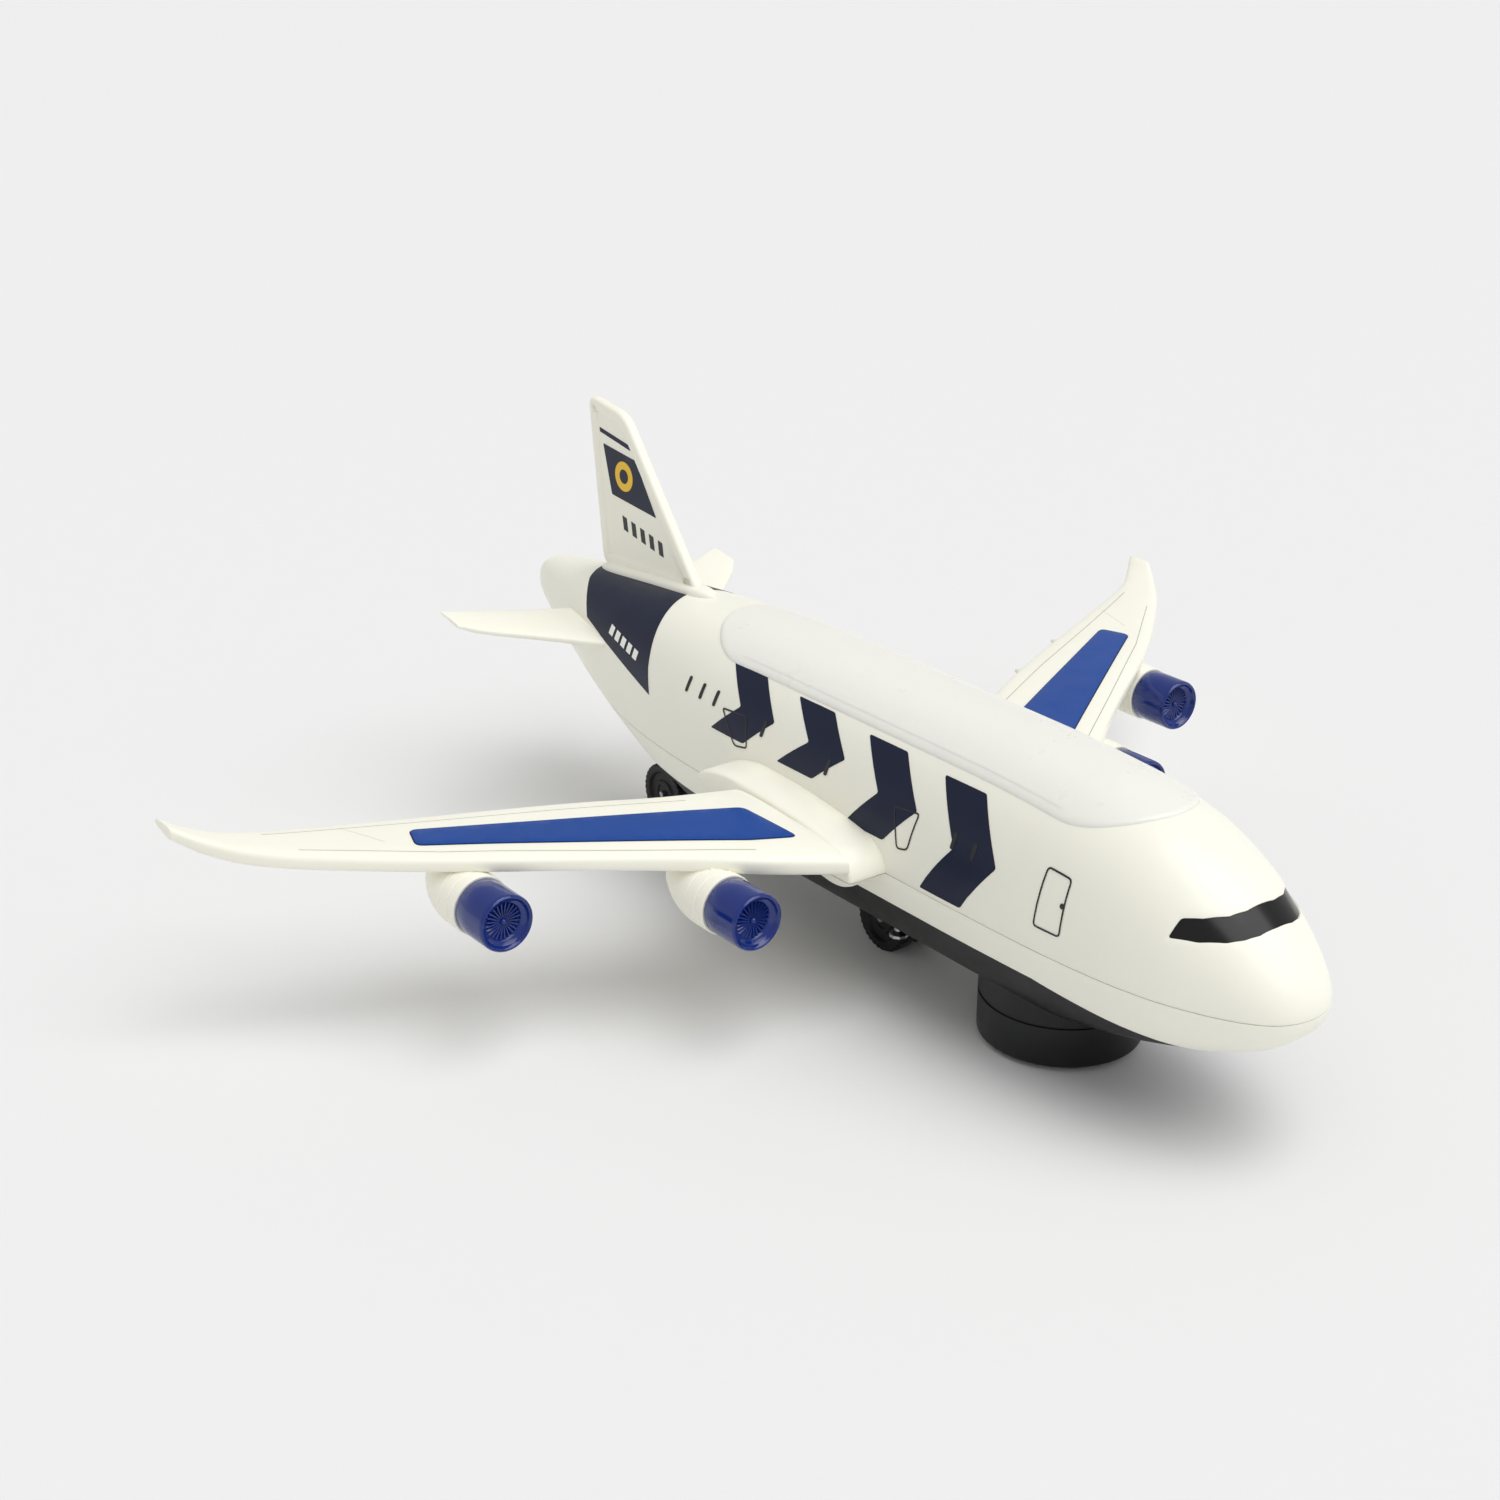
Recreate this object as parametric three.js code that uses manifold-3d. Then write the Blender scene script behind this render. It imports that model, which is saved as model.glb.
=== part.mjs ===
// Battery-driven toy jumbo jet with a bump-and-go drive drum, in millimetres, +Z up.
// The nose points along -Y and the port wing along +X. Inside the group, Y is the distance
// behind the nose and Z the height above the ground; the group centres the plane on Y.
import * as THREE from 'three';
import { mergeVertices } from 'three/addons/utils/BufferGeometryUtils.js';
import Module from 'manifold-3d';

const wasm = await Module();
wasm.setup();

// ---- driving dimensions ----
const LENGTH = 360;
const WALL = 1.6;
const GAP = 0.3;
const SEAM_Z = 44.5;
const BELLY_Z = 35.4;
const BELLY_FLOOR_Z = 15;
const FLOOR_TOP_Z = 16.8;
const RING_SEGMENTS = 20;

// Fuselage stations: distance behind the nose, half width, height of the waist, crown and keel.
const STATIONS = [
  [0, 2.5, 45.4, 47.6, 43],
  [3, 10.2, 44.8, 53, 38],
  [9, 16, 44.6, 59.6, 33],
  [20, 22, SEAM_Z, 69, 28.4],
  [34, 26.9, SEAM_Z, 78, 23.6],
  [52, 30, SEAM_Z, 84.6, 19],
  [76, 31.7, SEAM_Z, 87.8, 15.2],
  [110, 32.3, SEAM_Z, 89, BELLY_FLOOR_Z],
  [200, 32.3, SEAM_Z, 89.2, BELLY_FLOOR_Z],
  [225, 31.7, 45.5, 88.8, 17.4],
  [250, 29.6, 48, 87.6, 23.6],
  [275, 26, 52, 85.8, 31.2],
  [300, 21.4, 57, 83.6, 39.6],
  [325, 16.2, 62.4, 81, 48.4],
  [345, 11.4, 66.6, 78.6, 55.6],
  [356, 7.6, 69, 76.6, 61.4],
  [LENGTH, 4, 70.4, 74.4, 66.4],
];
const CROWN_POWER = 2.4;
const KEEL_POWER = 2.6;

// Drive drum under the nose.
const DRUM_Y = 90;
const DRUM_R = 24.2;
const DRUM_BORE_R = 21.9;
const DRUM_BOTTOM_Z = 1.6;
const DRUM_TOP_Z = 24.5;
const DRIVE_WHEEL_R = 9;
const GEAR_MODULE = 0.8;
const AXLE_TEETH = 17;
const IDLER_SMALL_TEETH = 10;
const IDLER_BIG_TEETH = 22;
const PINION_TEETH = 8;
const IDLER_Z = DRIVE_WHEEL_R + (GEAR_MODULE * (AXLE_TEETH + IDLER_SMALL_TEETH)) / 2 + 0.2;
const PINION_Z = IDLER_Z + (GEAR_MODULE * (IDLER_BIG_TEETH + PINION_TEETH)) / 2 + 0.2;

// Trailing wheel pairs.
const ROLLER_R = 10.8;
const MID_ROLLER = { y: 160.5, inner: 2.4, outer: 8.8 };
const REAR_ROLLER = { y: 279, inner: 2.4, outer: 7.6 };

// Wing: span stations with leading edge, trailing edge, upper height at each, and thickness.
const WING_ROOT_X = 46;
const WING_STATIONS = [
  [WING_ROOT_X, 131.6, 186, 54.6, 57.4, 9],
  [56, 138, 190, 55, 57.4, 9],
  [68, 145.6, 195, 55.6, 57.4, 8.8],
  [88, 160.4, 205.6, 56.4, 57.3, 8.2],
  [110, 175, 216, 56.9, 57.1, 7.6],
  [130, 187.6, 224.6, 57.2, 57, 7.1],
  [150, 202.2, 233.2, 57.2, 57, 6.7],
  [170, 218.6, 242, 57.2, 57.1, 6.4],
  [184, 231, 248.4, 57.9, 57.9, 6.1],
  [193, 241.4, 255.2, 59.6, 59.6, 5.6],
  [199, 249.4, 260, 62, 62, 4.6],
];
const WING_PANEL = [[53.6, 172.4], [63, 177.2], [140.5, 217], [144, 207], [64.4, 155], [51.6, 149]];
const WING_PANEL_DEPTH = 1;

// Engines: span position, front face and axis height.
const ENGINES = [
  { name: 'inner', x: 78, y: 133, z: 41.9 },
  { name: 'outer', x: 135.3, y: 173, z: 43 },
];
const CAP_R = 8.7;
const CAP_LENGTH = 14;

// Tail surfaces.
const FIN_THICKNESS = 4;
const FIN_OUTLINE = [[266, 86.6], [318, 83.4], [328.4, 142.3], [306.7, 139]];
const STABILISER_STATIONS = [
  [13, 281, 321, 67, 69.6, 4],
  [40, 307, 330, 69.2, 71.4, 3.2],
  [54, 319.6, 336, 70.4, 72.4, 2.6],
  [58.4, 325, 337.4, 71, 72.8, 1.8],
];

// Circuit board on two ribs under the roof cover, and the loudspeaker on a rib over the belly.
const BOARD = { halfWidth: 13, front: 102, rear: 134, z: 70 };
const SPEAKER = { y: 239, radius: 13, z: 39 };

const CHASSIS_SCREWS = [[0, 48], [21, 138], [-21, 138], [0, 258]];
const BATTERY_CELL_R = 7.15;
const BATTERY_CELL_LENGTH = 49;
const BATTERY_Y = 178;
const BATTERY_Z = 31.2;
const DOOR = { halfWidth: 17, front: 176, rear: 236 };

// ---- materials ----
const finish = (color, roughness, metalness) => (
  new THREE.MeshStandardMaterial({ color, roughness, metalness })
);
const CREAM = finish(0xf8f8ee, 0.42, 0);
const TRANSLUCENT = finish(0xf6f4e4, 0.35, 0);
const BLUE = finish(0x305a9e, 0.45, 0);
const CAP_BLUE = finish(0x193c8c, 0.18, 0);
const BLACK = finish(0x1c1c1e, 0.48, 0);
const GLOSS_BLACK = finish(0x0c0c0e, 0.12, 0);
const GREY = finish(0x8a8c8e, 0.5, 0);
const NYLON = finish(0xe8e6da, 0.5, 0);
const STEEL = finish(0xb4b6b8, 0.3, 1);
const CELL_GREEN = finish(0x2f7a4a, 0.35, 0.2);
const BOARD_GREEN = finish(0x1e6b3c, 0.5, 0);
const LAMP = finish(0xf2f6ff, 0.1, 0);
const RUBBER = finish(0x202022, 0.75, 0);

// ---- solids ----
const plane = new THREE.Group();
plane.position.y = -LENGTH / 2;

function toSolid(geometry) {
  const bare = geometry.clone();
  bare.deleteAttribute('normal');
  bare.deleteAttribute('uv');
  const merged = mergeVertices(bare, 1e-4);
  const index = merged.index.array;
  const triangles = [];
  for (let i = 0; i < index.length; i += 3) {
    const [a, b, c] = [index[i], index[i + 1], index[i + 2]];
    if (a !== b && b !== c && c !== a) {
      triangles.push(a, b, c);
    }
  }
  return new wasm.Manifold(new wasm.Mesh({
    numProp: 3,
    vertProperties: new Float32Array(merged.attributes.position.array),
    triVerts: new Uint32Array(triangles),
  }));
}

function toGeometry(solid) {
  const mesh = solid.getMesh();
  const geometry = new THREE.BufferGeometry();
  geometry.setAttribute('position', new THREE.Float32BufferAttribute(mesh.vertProperties, 3));
  geometry.setIndex(Array.from(mesh.triVerts));
  return geometry;
}

function mirrored(geometry) {
  const copy = geometry.clone().scale(-1, 1, 1);
  const index = copy.index.array;
  for (let i = 0; i < index.length; i += 3) {
    [index[i], index[i + 1]] = [index[i + 1], index[i]];
  }
  return copy;
}

function addMesh(name, geometry, material) {
  geometry.computeVertexNormals();
  const mesh = new THREE.Mesh(geometry, material);
  mesh.name = name;
  plane.add(mesh);
  return mesh;
}

function addSolid(name, solid, material) {
  return addMesh(name, toGeometry(solid), material);
}

// A piece on the port side and its mirror image on the starboard side.
function addPair(name, solid, material) {
  const geometry = toGeometry(solid);
  addMesh(`${name}_left`, geometry, material);
  addMesh(`${name}_right`, mirrored(geometry), material);
}

function box(x0, x1, y0, y1, z0, z1) {
  const geometry = new THREE.BoxGeometry(x1 - x0, y1 - y0, z1 - z0);
  return toSolid(geometry.translate((x0 + x1) / 2, (y0 + y1) / 2, (z0 + z1) / 2));
}

function cylinderX(radius, x0, x1, y, z, segments = 20) {
  const geometry = new THREE.CylinderGeometry(radius, radius, x1 - x0, segments);
  return toSolid(geometry.rotateZ(-Math.PI / 2).translate((x0 + x1) / 2, y, z));
}

function cylinderY(radius, x, y0, y1, z, segments = 20) {
  const geometry = new THREE.CylinderGeometry(radius, radius, y1 - y0, segments);
  return toSolid(geometry.translate(x, (y0 + y1) / 2, z));
}

function cylinderZ(radius, x, y, z0, z1, segments = 24) {
  const geometry = new THREE.CylinderGeometry(radius, radius, z1 - z0, segments);
  return toSolid(geometry.rotateX(Math.PI / 2).translate(x, y, (z0 + z1) / 2));
}

// A turned piece: profile points are [radius, height], and the height runs along +Y.
function turned(profile, segments) {
  const points = profile.map(([radius, height]) => new THREE.Vector2(radius, height));
  return new THREE.LatheGeometry(points, segments);
}

function outline(points) {
  return new THREE.Shape(points.map(([a, b]) => new THREE.Vector2(a, b)));
}

// An outline in X and Y, raised from z0 to z1.
function slab(shape, z0, z1, curveSegments = 8) {
  const options = { depth: z1 - z0, bevelEnabled: false, curveSegments };
  return toSolid(new THREE.ExtrudeGeometry(shape, options).translate(0, 0, z0));
}

// An outline in Y and Z, run along X from x0 to x1.
function sideSlab(shape, x0, x1) {
  const geometry = new THREE.ExtrudeGeometry(shape, { depth: x1 - x0, bevelEnabled: false });
  const turn = new THREE.Matrix4().makeBasis(
    new THREE.Vector3(0, 1, 0),
    new THREE.Vector3(0, 0, 1),
    new THREE.Vector3(1, 0, 0),
  );
  return toSolid(geometry.applyMatrix4(turn).translate(x0, 0, 0));
}

// A lofted piece: a closed drum whose rings are moved onto the sections of its stations.
function loft(stationCount, segments, pointAt) {
  const drum = new THREE.CylinderGeometry(1, 1, 1, segments, stationCount - 1);
  const position = drum.attributes.position;
  const vertex = new THREE.Vector3();
  for (let i = 0; i < position.count; i += 1) {
    vertex.fromBufferAttribute(position, i);
    const ring = Math.round((vertex.y + 0.5) * (stationCount - 1));
    const reach = Math.hypot(vertex.x, vertex.z);
    const angle = Math.atan2(vertex.z, vertex.x);
    const moved = pointAt(ring, angle, reach);
    position.setXYZ(i, moved[0], moved[1], moved[2]);
  }
  return toSolid(drum);
}

const bulge = (value, power) => Math.sign(value) * Math.abs(value) ** (2 / power);

function fuselageLoft(stations, inset) {
  return loft(stations.length, RING_SEGMENTS, (ring, angle, reach) => {
    const [y, halfWidth, waist, crown, keel] = stations[ring];
    const power = Math.sin(angle) >= 0 ? CROWN_POWER : KEEL_POWER;
    const height = Math.sin(angle) >= 0 ? crown - waist : waist - keel;
    const x = reach * bulge(Math.cos(angle), power) * (halfWidth - inset);
    const z = waist + reach * bulge(Math.sin(angle), power) * (height - inset);
    return [x, y, z];
  });
}

// A flying surface lofted along +X with a rounded front edge, thinner towards the rear.
// A positive drop lowers the upper face.
function surfaceLoft(stations, grow = 0, drop = 0) {
  const SEGMENTS = 12;
  const FLATNESS = 3.2;
  const REAR_TAPER = 0.45;
  return loft(stations.length, SEGMENTS, (ring, angle, reach) => {
    const [x, front, rear, frontTop, rearTop, thickness] = stations[ring];
    const along = -bulge(Math.cos(angle), FLATNESS) * reach;
    const up = bulge(Math.sin(angle), FLATNESS) * reach;
    const y = (front + rear) / 2 + along * ((rear - front) / 2 + grow);
    const share = (along + 1) / 2;
    const half = (thickness * (1 - REAR_TAPER * share)) / 2;
    const top = frontTop + (rearTop - frontTop) * share;
    return [x, y, top - half + up * (half + grow) - drop];
  });
}

// A spur gear with straight-sided teeth, centred on x, turned by phase degrees about X.
function spurGear(teeth, x0, x1, y, z, phase) {
  const pitchR = (GEAR_MODULE * teeth) / 2;
  const rootR = pitchR - GEAR_MODULE * 1.1;
  const tipR = pitchR + GEAR_MODULE * 0.85;
  const step = (2 * Math.PI) / teeth;
  const points = [];
  for (let i = 0; i < teeth; i += 1) {
    const middle = i * step + (phase * Math.PI) / 180;
    const corners = [[rootR, -0.3], [tipR, -0.11], [tipR, 0.11], [rootR, 0.3]];
    for (const [radius, offset] of corners) {
      const angle = middle + offset * step;
      points.push([y + radius * Math.cos(angle), z + radius * Math.sin(angle)]);
    }
  }
  return sideSlab(outline(points), x0, x1);
}

const fuselageOuter = fuselageLoft(STATIONS, 0);
const fuselageInner = fuselageLoft(STATIONS.slice(1, -1), WALL);
const fuselageSkin = fuselageOuter.subtract(fuselageInner);
const HUGE = 400;
const above = (z) => box(-HUGE, HUGE, -10, HUGE, z, HUGE);
const below = (z) => box(-HUGE, HUGE, -10, HUGE, -HUGE, z);

// ---- cockpit window and roof cover: panels let into the upper shell ----
const ACROSS = 40;
const WINDOW_OUTLINE = [
  [6, 70],
  [14.7, 65],
  [16.4, 63.6],
  [18.9, 63],
  [24.3, 62.4],
  [31.4, 62.1],
  [30.4, 67.2],
  [26.1, 67.7],
  [22.2, 68.3],
  [20.7, 69.4],
  [14, 76],
];
const PANE_OUTLINE = [
  [6.6, 70],
  [15, 65.2],
  [16.6, 63.9],
  [19, 63.3],
  [24.3, 62.7],
  [31, 62.4],
  [30.1, 66.9],
  [26, 67.4],
  [22, 68],
  [20.4, 69.2],
  [14, 75.4],
];
const windowBlock = sideSlab(outline(WINDOW_OUTLINE), -ACROSS, ACROSS);

function roofOutline(halfWidth, front, rear, endLength) {
  const shape = new THREE.Shape();
  shape.absellipse(0, rear - endLength, halfWidth, endLength, 0, Math.PI);
  shape.absellipse(0, front + endLength, halfWidth, endLength, Math.PI, 2 * Math.PI);
  return shape;
}

const ROOF = { halfWidth: 21.6, front: 50, rear: 242, endLength: 25, rise: 0.7 };
const roofBlock = slab(roofOutline(ROOF.halfWidth, ROOF.front, ROOF.rear, ROOF.endLength), 60, 110);
const roofHole = slab(
  roofOutline(ROOF.halfWidth + GAP, ROOF.front - GAP, ROOF.rear + GAP, ROOF.endLength),
  60,
  110,
);
const roofCover = fuselageLoft(STATIONS, -ROOF.rise).subtract(fuselageInner).intersect(roofBlock);

// ---- wing root collars: raised sockets that each wing plugs into ----
const COLLAR_X = { inner: 24, rim: 42.6, outer: 45.6 };
const COLLAR_OUTLINE = [
  [130.6, 45],
  [132.4, 50.4],
  [138, 54],
  [154, 56.4],
  [173, 58],
  [192, 58.6],
  [203, 56.4],
  [208.4, 52.6],
  [203, 49],
  [170, 45],
  [138, 41],
];
const TONGUE = { x0: 38, x1: 48, front: 142, rear: 182, bottom: 48, top: 52.6 };
const pocket = box(
  TONGUE.x0 - GAP,
  TONGUE.x1 + 2,
  TONGUE.front - GAP,
  TONGUE.rear + GAP,
  TONGUE.bottom - GAP,
  TONGUE.top + GAP,
);
const collarCentre = { y: 168, z: 50.4 };
const COLLAR_RIM_SCALE = 0.93;
const collarRim = COLLAR_OUTLINE.map(([y, z]) => [
  collarCentre.y + (y - collarCentre.y) * (1 - (1 - COLLAR_RIM_SCALE) / 3),
  collarCentre.z + (z - collarCentre.z) * COLLAR_RIM_SCALE,
]);
const collarLeft = sideSlab(outline(COLLAR_OUTLINE), COLLAR_X.inner, COLLAR_X.rim)
  .add(sideSlab(outline(collarRim), COLLAR_X.rim - 1, COLLAR_X.outer))
  .subtract(fuselageInner)
  .subtract(pocket);
const collarRight = toSolid(mirrored(toGeometry(collarLeft)));
const fuselage = fuselageSkin.add(collarLeft).add(collarRight);

// ---- fin socket on the crown ----
const FIN_SOCKET = { halfWidth: 4.6, front: 258, rear: 322, top: 90.2 };
const finSocketShape = outline([
  [FIN_SOCKET.front, 84],
  [FIN_SOCKET.front + 6, FIN_SOCKET.top],
  [FIN_SOCKET.rear, FIN_SOCKET.top - 3.6],
  [FIN_SOCKET.rear + 4, 79.5],
]);
const FIN_SLOT_OUTLINE = [[265, 86], [319, 82.6], [319.6, 95], [265, 95]];
const finSlot = sideSlab(
  outline(FIN_SLOT_OUTLINE),
  -FIN_THICKNESS / 2 - GAP,
  FIN_THICKNESS / 2 + GAP,
);
const finSocket = sideSlab(finSocketShape, -FIN_SOCKET.halfWidth, FIN_SOCKET.halfWidth)
  .subtract(fuselageInner)
  .subtract(finSlot);

// ---- upper shell with its screw posts ----
let upperShell = fuselage
  .subtract(finSlot)
  .add(finSocket)
  .intersect(above(SEAM_Z + GAP / 2))
  .subtract(windowBlock)
  .subtract(roofHole);
const POST = { radius: 3.8, bottom: 30, top: 58, bore: 1.8, boreTop: 42 };
const WEB = { halfThickness: 1, postBottom: 50, boardBottom: 65 };
const crossWeb = (y, bottom, top) => (
  box(-ACROSS, ACROSS, y - WEB.halfThickness, y + WEB.halfThickness, bottom, top)
    .intersect(fuselageOuter)
);
for (const [x, y] of CHASSIS_SCREWS) {
  const web = crossWeb(y, WEB.postBottom, POST.top);
  const post = cylinderZ(POST.radius, x, y, POST.bottom, POST.top, 12);
  const bore = cylinderZ(POST.bore, x, y, POST.bottom - 1, POST.boreTop, 12);
  upperShell = upperShell.add(web).add(post).subtract(bore);
}
for (const y of [BOARD.front, BOARD.rear]) {
  upperShell = upperShell.add(crossWeb(y, WEB.boardBottom, BOARD.z - GAP));
}
addSolid('fuselage_upper_shell', upperShell, CREAM);
const paneBlock = sideSlab(outline(PANE_OUTLINE), -ACROSS, ACROSS);
addSolid('cockpit_window', fuselageSkin.intersect(paneBlock), GLOSS_BLACK);
addSolid('roof_light_cover', roofCover, TRANSLUCENT);

// ---- lower shell ----
const RIB_HALF = 2;
const speakerRib = box(
  -ACROSS,
  ACROSS,
  SPEAKER.y - RIB_HALF,
  SPEAKER.y + RIB_HALF,
  BELLY_Z,
  SPEAKER.z - GAP,
);
const lowerShell = fuselage
  .add(speakerRib.intersect(fuselageOuter))
  .intersect(below(SEAM_Z - GAP / 2))
  .intersect(above(BELLY_Z + GAP / 2));
addSolid('fuselage_lower_shell', lowerShell, CREAM);

// ---- belly chassis ----
const WELL = { halfWidth: 9.6, front: 148.5, rear: 172.5, roof: 22.6 };
const LEG = { halfWidth: 1.9, bore: 1.3, foot: 3.4, rearTop: 34.6 };
const SWITCH = { y: 130, halfWidth: 2.5, length: 6, travel: 5 };
const DOOR_BLOCK_TOP = 24;
const doorBlock = (gap) => box(
  -DOOR.halfWidth - gap,
  DOOR.halfWidth + gap,
  DOOR.front - gap,
  DOOR.rear + gap,
  0,
  DOOR_BLOCK_TOP,
);
function leg(roller, halfLength, top) {
  const shape = outline([
    [roller.y - LEG.foot, ROLLER_R - LEG.foot],
    [roller.y + LEG.foot, ROLLER_R - LEG.foot],
    [roller.y + halfLength, top],
    [roller.y - halfLength, top],
  ]);
  const bore = cylinderX(LEG.bore, -5, 5, roller.y, ROLLER_R, 12);
  return sideSlab(shape, -LEG.halfWidth, LEG.halfWidth).subtract(bore);
}
const bellySkin = fuselageSkin.intersect(below(BELLY_Z - GAP / 2));
const FLOOR = { halfWidth: 19, front: 70, rear: 206 };
const bellyFloor = box(
  -FLOOR.halfWidth,
  FLOOR.halfWidth,
  FLOOR.front,
  FLOOR.rear,
  BELLY_FLOOR_Z,
  FLOOR_TOP_Z,
).intersect(fuselageOuter);
const BULKHEADS = [BATTERY_Y - 3.6, BATTERY_Y + BATTERY_CELL_LENGTH + 2.6];
const BULKHEAD_HALF = 0.8;
let chassis = bellySkin
  .add(bellyFloor)
  .add(cylinderZ(DRUM_R, 0, DRUM_Y, DRUM_BOTTOM_Z, DRUM_TOP_Z, 28))
  .add(box(-WELL.halfWidth - WALL, WELL.halfWidth + WALL, WELL.front - WALL, WELL.rear + WALL,
    BELLY_FLOOR_Z + 0.5, WELL.roof + WALL))
  .subtract(box(-WELL.halfWidth, WELL.halfWidth, WELL.front, WELL.rear, 0, WELL.roof))
  .subtract(cylinderZ(DRUM_BORE_R, 0, DRUM_Y, 0, DRUM_TOP_Z + 2, 28));
for (const y of BULKHEADS) {
  const bulkhead = box(-ACROSS, ACROSS, y - BULKHEAD_HALF, y + BULKHEAD_HALF, FLOOR_TOP_Z,
    BELLY_Z - GAP);
  chassis = chassis.add(bulkhead.intersect(fuselageOuter));
}
const SCREW = { headR: 3, headZ: 2, shankR: 1.4, length: 14, sideRise: 3 };
const BOSS_R = 4.8;
const keelAt = (y) => {
  const next = STATIONS.findIndex((station) => station[0] >= y);
  const [a, b] = [STATIONS[next - 1], STATIONS[next]];
  return a[4] + ((b[4] - a[4]) * (y - a[0])) / (b[0] - a[0]);
};
const screwSeat = (x, y) => (
  Math.max(keelAt(y), BELLY_FLOOR_Z) + (x === 0 ? 0 : SCREW.sideRise) + SCREW.headZ
);
for (const [x, y] of CHASSIS_SCREWS) {
  const seat = screwSeat(x, y) + 2 * GAP;
  const boss = cylinderZ(BOSS_R, x, y, seat - BOSS_R, POST.bottom - GAP, 12)
    .intersect(fuselageOuter);
  chassis = chassis
    .add(boss)
    .subtract(cylinderZ(POST.bore, x, y, 0, POST.bottom + 1, 12))
    .subtract(cylinderZ(SCREW.headR + 0.4, x, y, 0, seat, 12));
}
chassis = chassis
  .subtract(doorBlock(GAP))
  .subtract(box(-SWITCH.halfWidth - GAP, SWITCH.halfWidth + GAP, SWITCH.y - GAP,
    SWITCH.y + SWITCH.length + SWITCH.travel + GAP, 0, 30))
  .add(leg(MID_ROLLER, 6, WELL.roof + 0.4))
  .add(leg(REAR_ROLLER, 7, LEG.rearTop));
addSolid('belly_chassis', chassis, BLACK);

const SLOT = { halfWidth: 0.4, reach: 2, depth: 0.6 };
function screw(name, x, y, seat) {
  const profile = [[0, 0], [SCREW.headR, 0], [SCREW.headR, 0.9], [SCREW.shankR, SCREW.headZ - 0.2],
    [SCREW.shankR, SCREW.length], [0, SCREW.length + 1]];
  const geometry = turned(profile, 10).rotateX(Math.PI / 2);
  const driverSlot = box(-SLOT.halfWidth, SLOT.halfWidth, -SLOT.reach, SLOT.reach, -1, SLOT.depth);
  const solid = toSolid(geometry).subtract(driverSlot);
  return addMesh(name, toGeometry(solid).translate(x, y, seat - SCREW.headZ + GAP), STEEL);
}
CHASSIS_SCREWS.forEach(([x, y], index) => {
  screw(`chassis_screw_${index + 1}`, x, y, screwSeat(x, y));
});

// ---- battery door, cells and contacts ----
const doorScrewY = DOOR.rear - 6;
const door = fuselageSkin.intersect(doorBlock(0))
  .subtract(cylinderZ(POST.bore, 0, doorScrewY, 0, ACROSS, 12));
addSolid('battery_door', door, BLACK);
const DOOR_SCREW_DROP = 2.2;
const DOOR_SCREW_PROFILE = [
  [0, 0],
  [2.6, 0],
  [2.6, 1],
  [SCREW.shankR, 1.4],
  [SCREW.shankR, 6],
  [0, 6.8],
];
addMesh(
  'battery_door_screw',
  toGeometry(toSolid(turned(DOOR_SCREW_PROFILE, 10).rotateX(Math.PI / 2)))
    .translate(0, doorScrewY, keelAt(doorScrewY) - DOOR_SCREW_DROP),
  STEEL,
);
const CELL_PITCH = 15;
const CELL_TIP = { radius: 2.6, length: 1.2 };
const CONTACT = { reach: 6, halfHeight: 5, thickness: 0.7, frontGap: 2.2 };
[-1, 0, 1].forEach((place, index) => {
  const x = place * CELL_PITCH;
  const cell = cylinderY(BATTERY_CELL_R, x, BATTERY_Y, BATTERY_Y + BATTERY_CELL_LENGTH, BATTERY_Z, 14)
    .add(cylinderY(CELL_TIP.radius, x, BATTERY_Y - CELL_TIP.length, BATTERY_Y + 1, BATTERY_Z, 10));
  addSolid(`battery_cell_${index + 1}`, cell, CELL_GREEN);
});
const contactHalfWidth = CELL_PITCH + CONTACT.reach;
const contactPlate = (y) => box(
  -contactHalfWidth,
  contactHalfWidth,
  y,
  y + CONTACT.thickness,
  BATTERY_Z - CONTACT.halfHeight,
  BATTERY_Z + CONTACT.halfHeight,
);
const rearContactY = BATTERY_Y + BATTERY_CELL_LENGTH + GAP;
addSolid('battery_contact_front', contactPlate(BATTERY_Y - CONTACT.frontGap), STEEL);
addSolid('battery_contact_rear', contactPlate(rearContactY), STEEL);

// ---- power switch ----
const KNOB = { bottom: BELLY_FLOOR_Z - 1.4, top: FLOOR_TOP_Z + 1 };
const SWITCH_CASE = { halfWidth: 5, margin: 4, top: FLOOR_TOP_Z + 7 };
addSolid('power_switch_knob', box(
  -SWITCH.halfWidth,
  SWITCH.halfWidth,
  SWITCH.y,
  SWITCH.y + SWITCH.length,
  KNOB.bottom,
  KNOB.top,
), GREY);
addSolid('power_switch_body', box(
  -SWITCH_CASE.halfWidth,
  SWITCH_CASE.halfWidth,
  SWITCH.y - SWITCH_CASE.margin,
  SWITCH.y + SWITCH.length + SWITCH.travel + SWITCH_CASE.margin,
  KNOB.top + GAP,
  SWITCH_CASE.top,
), STEEL);

// ---- drive unit inside the drum ----
const DISC = { bottom: 2.6, top: 4.4, radius: 21.4 };
const CUP = { innerR: 20.1, flangeR: 24.2, flangeBottom: DRUM_TOP_Z + 0.4, top: DRUM_TOP_Z + 1.6 };
const cupProfile = [
  [0, DISC.bottom],
  [DISC.radius, DISC.bottom],
  [DISC.radius, CUP.flangeBottom],
  [CUP.flangeR, CUP.flangeBottom],
  [CUP.flangeR, CUP.top],
  [CUP.innerR, CUP.top],
  [CUP.innerR, DISC.top],
  [0, DISC.top],
];
const DRIVE_WHEEL = { inner: 10.4, outer: 14.6 };
const PLATE = { inner: 6.6, outer: 8, halfLength: 9, top: PINION_Z - 6.6 };
const SHAFT = { radius: 1, bore: 1.3, halfLength: 15.6 };
const WHEEL_SLOT = { margin: 0.8, halfLength: 9.2, top: 6 };
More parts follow.
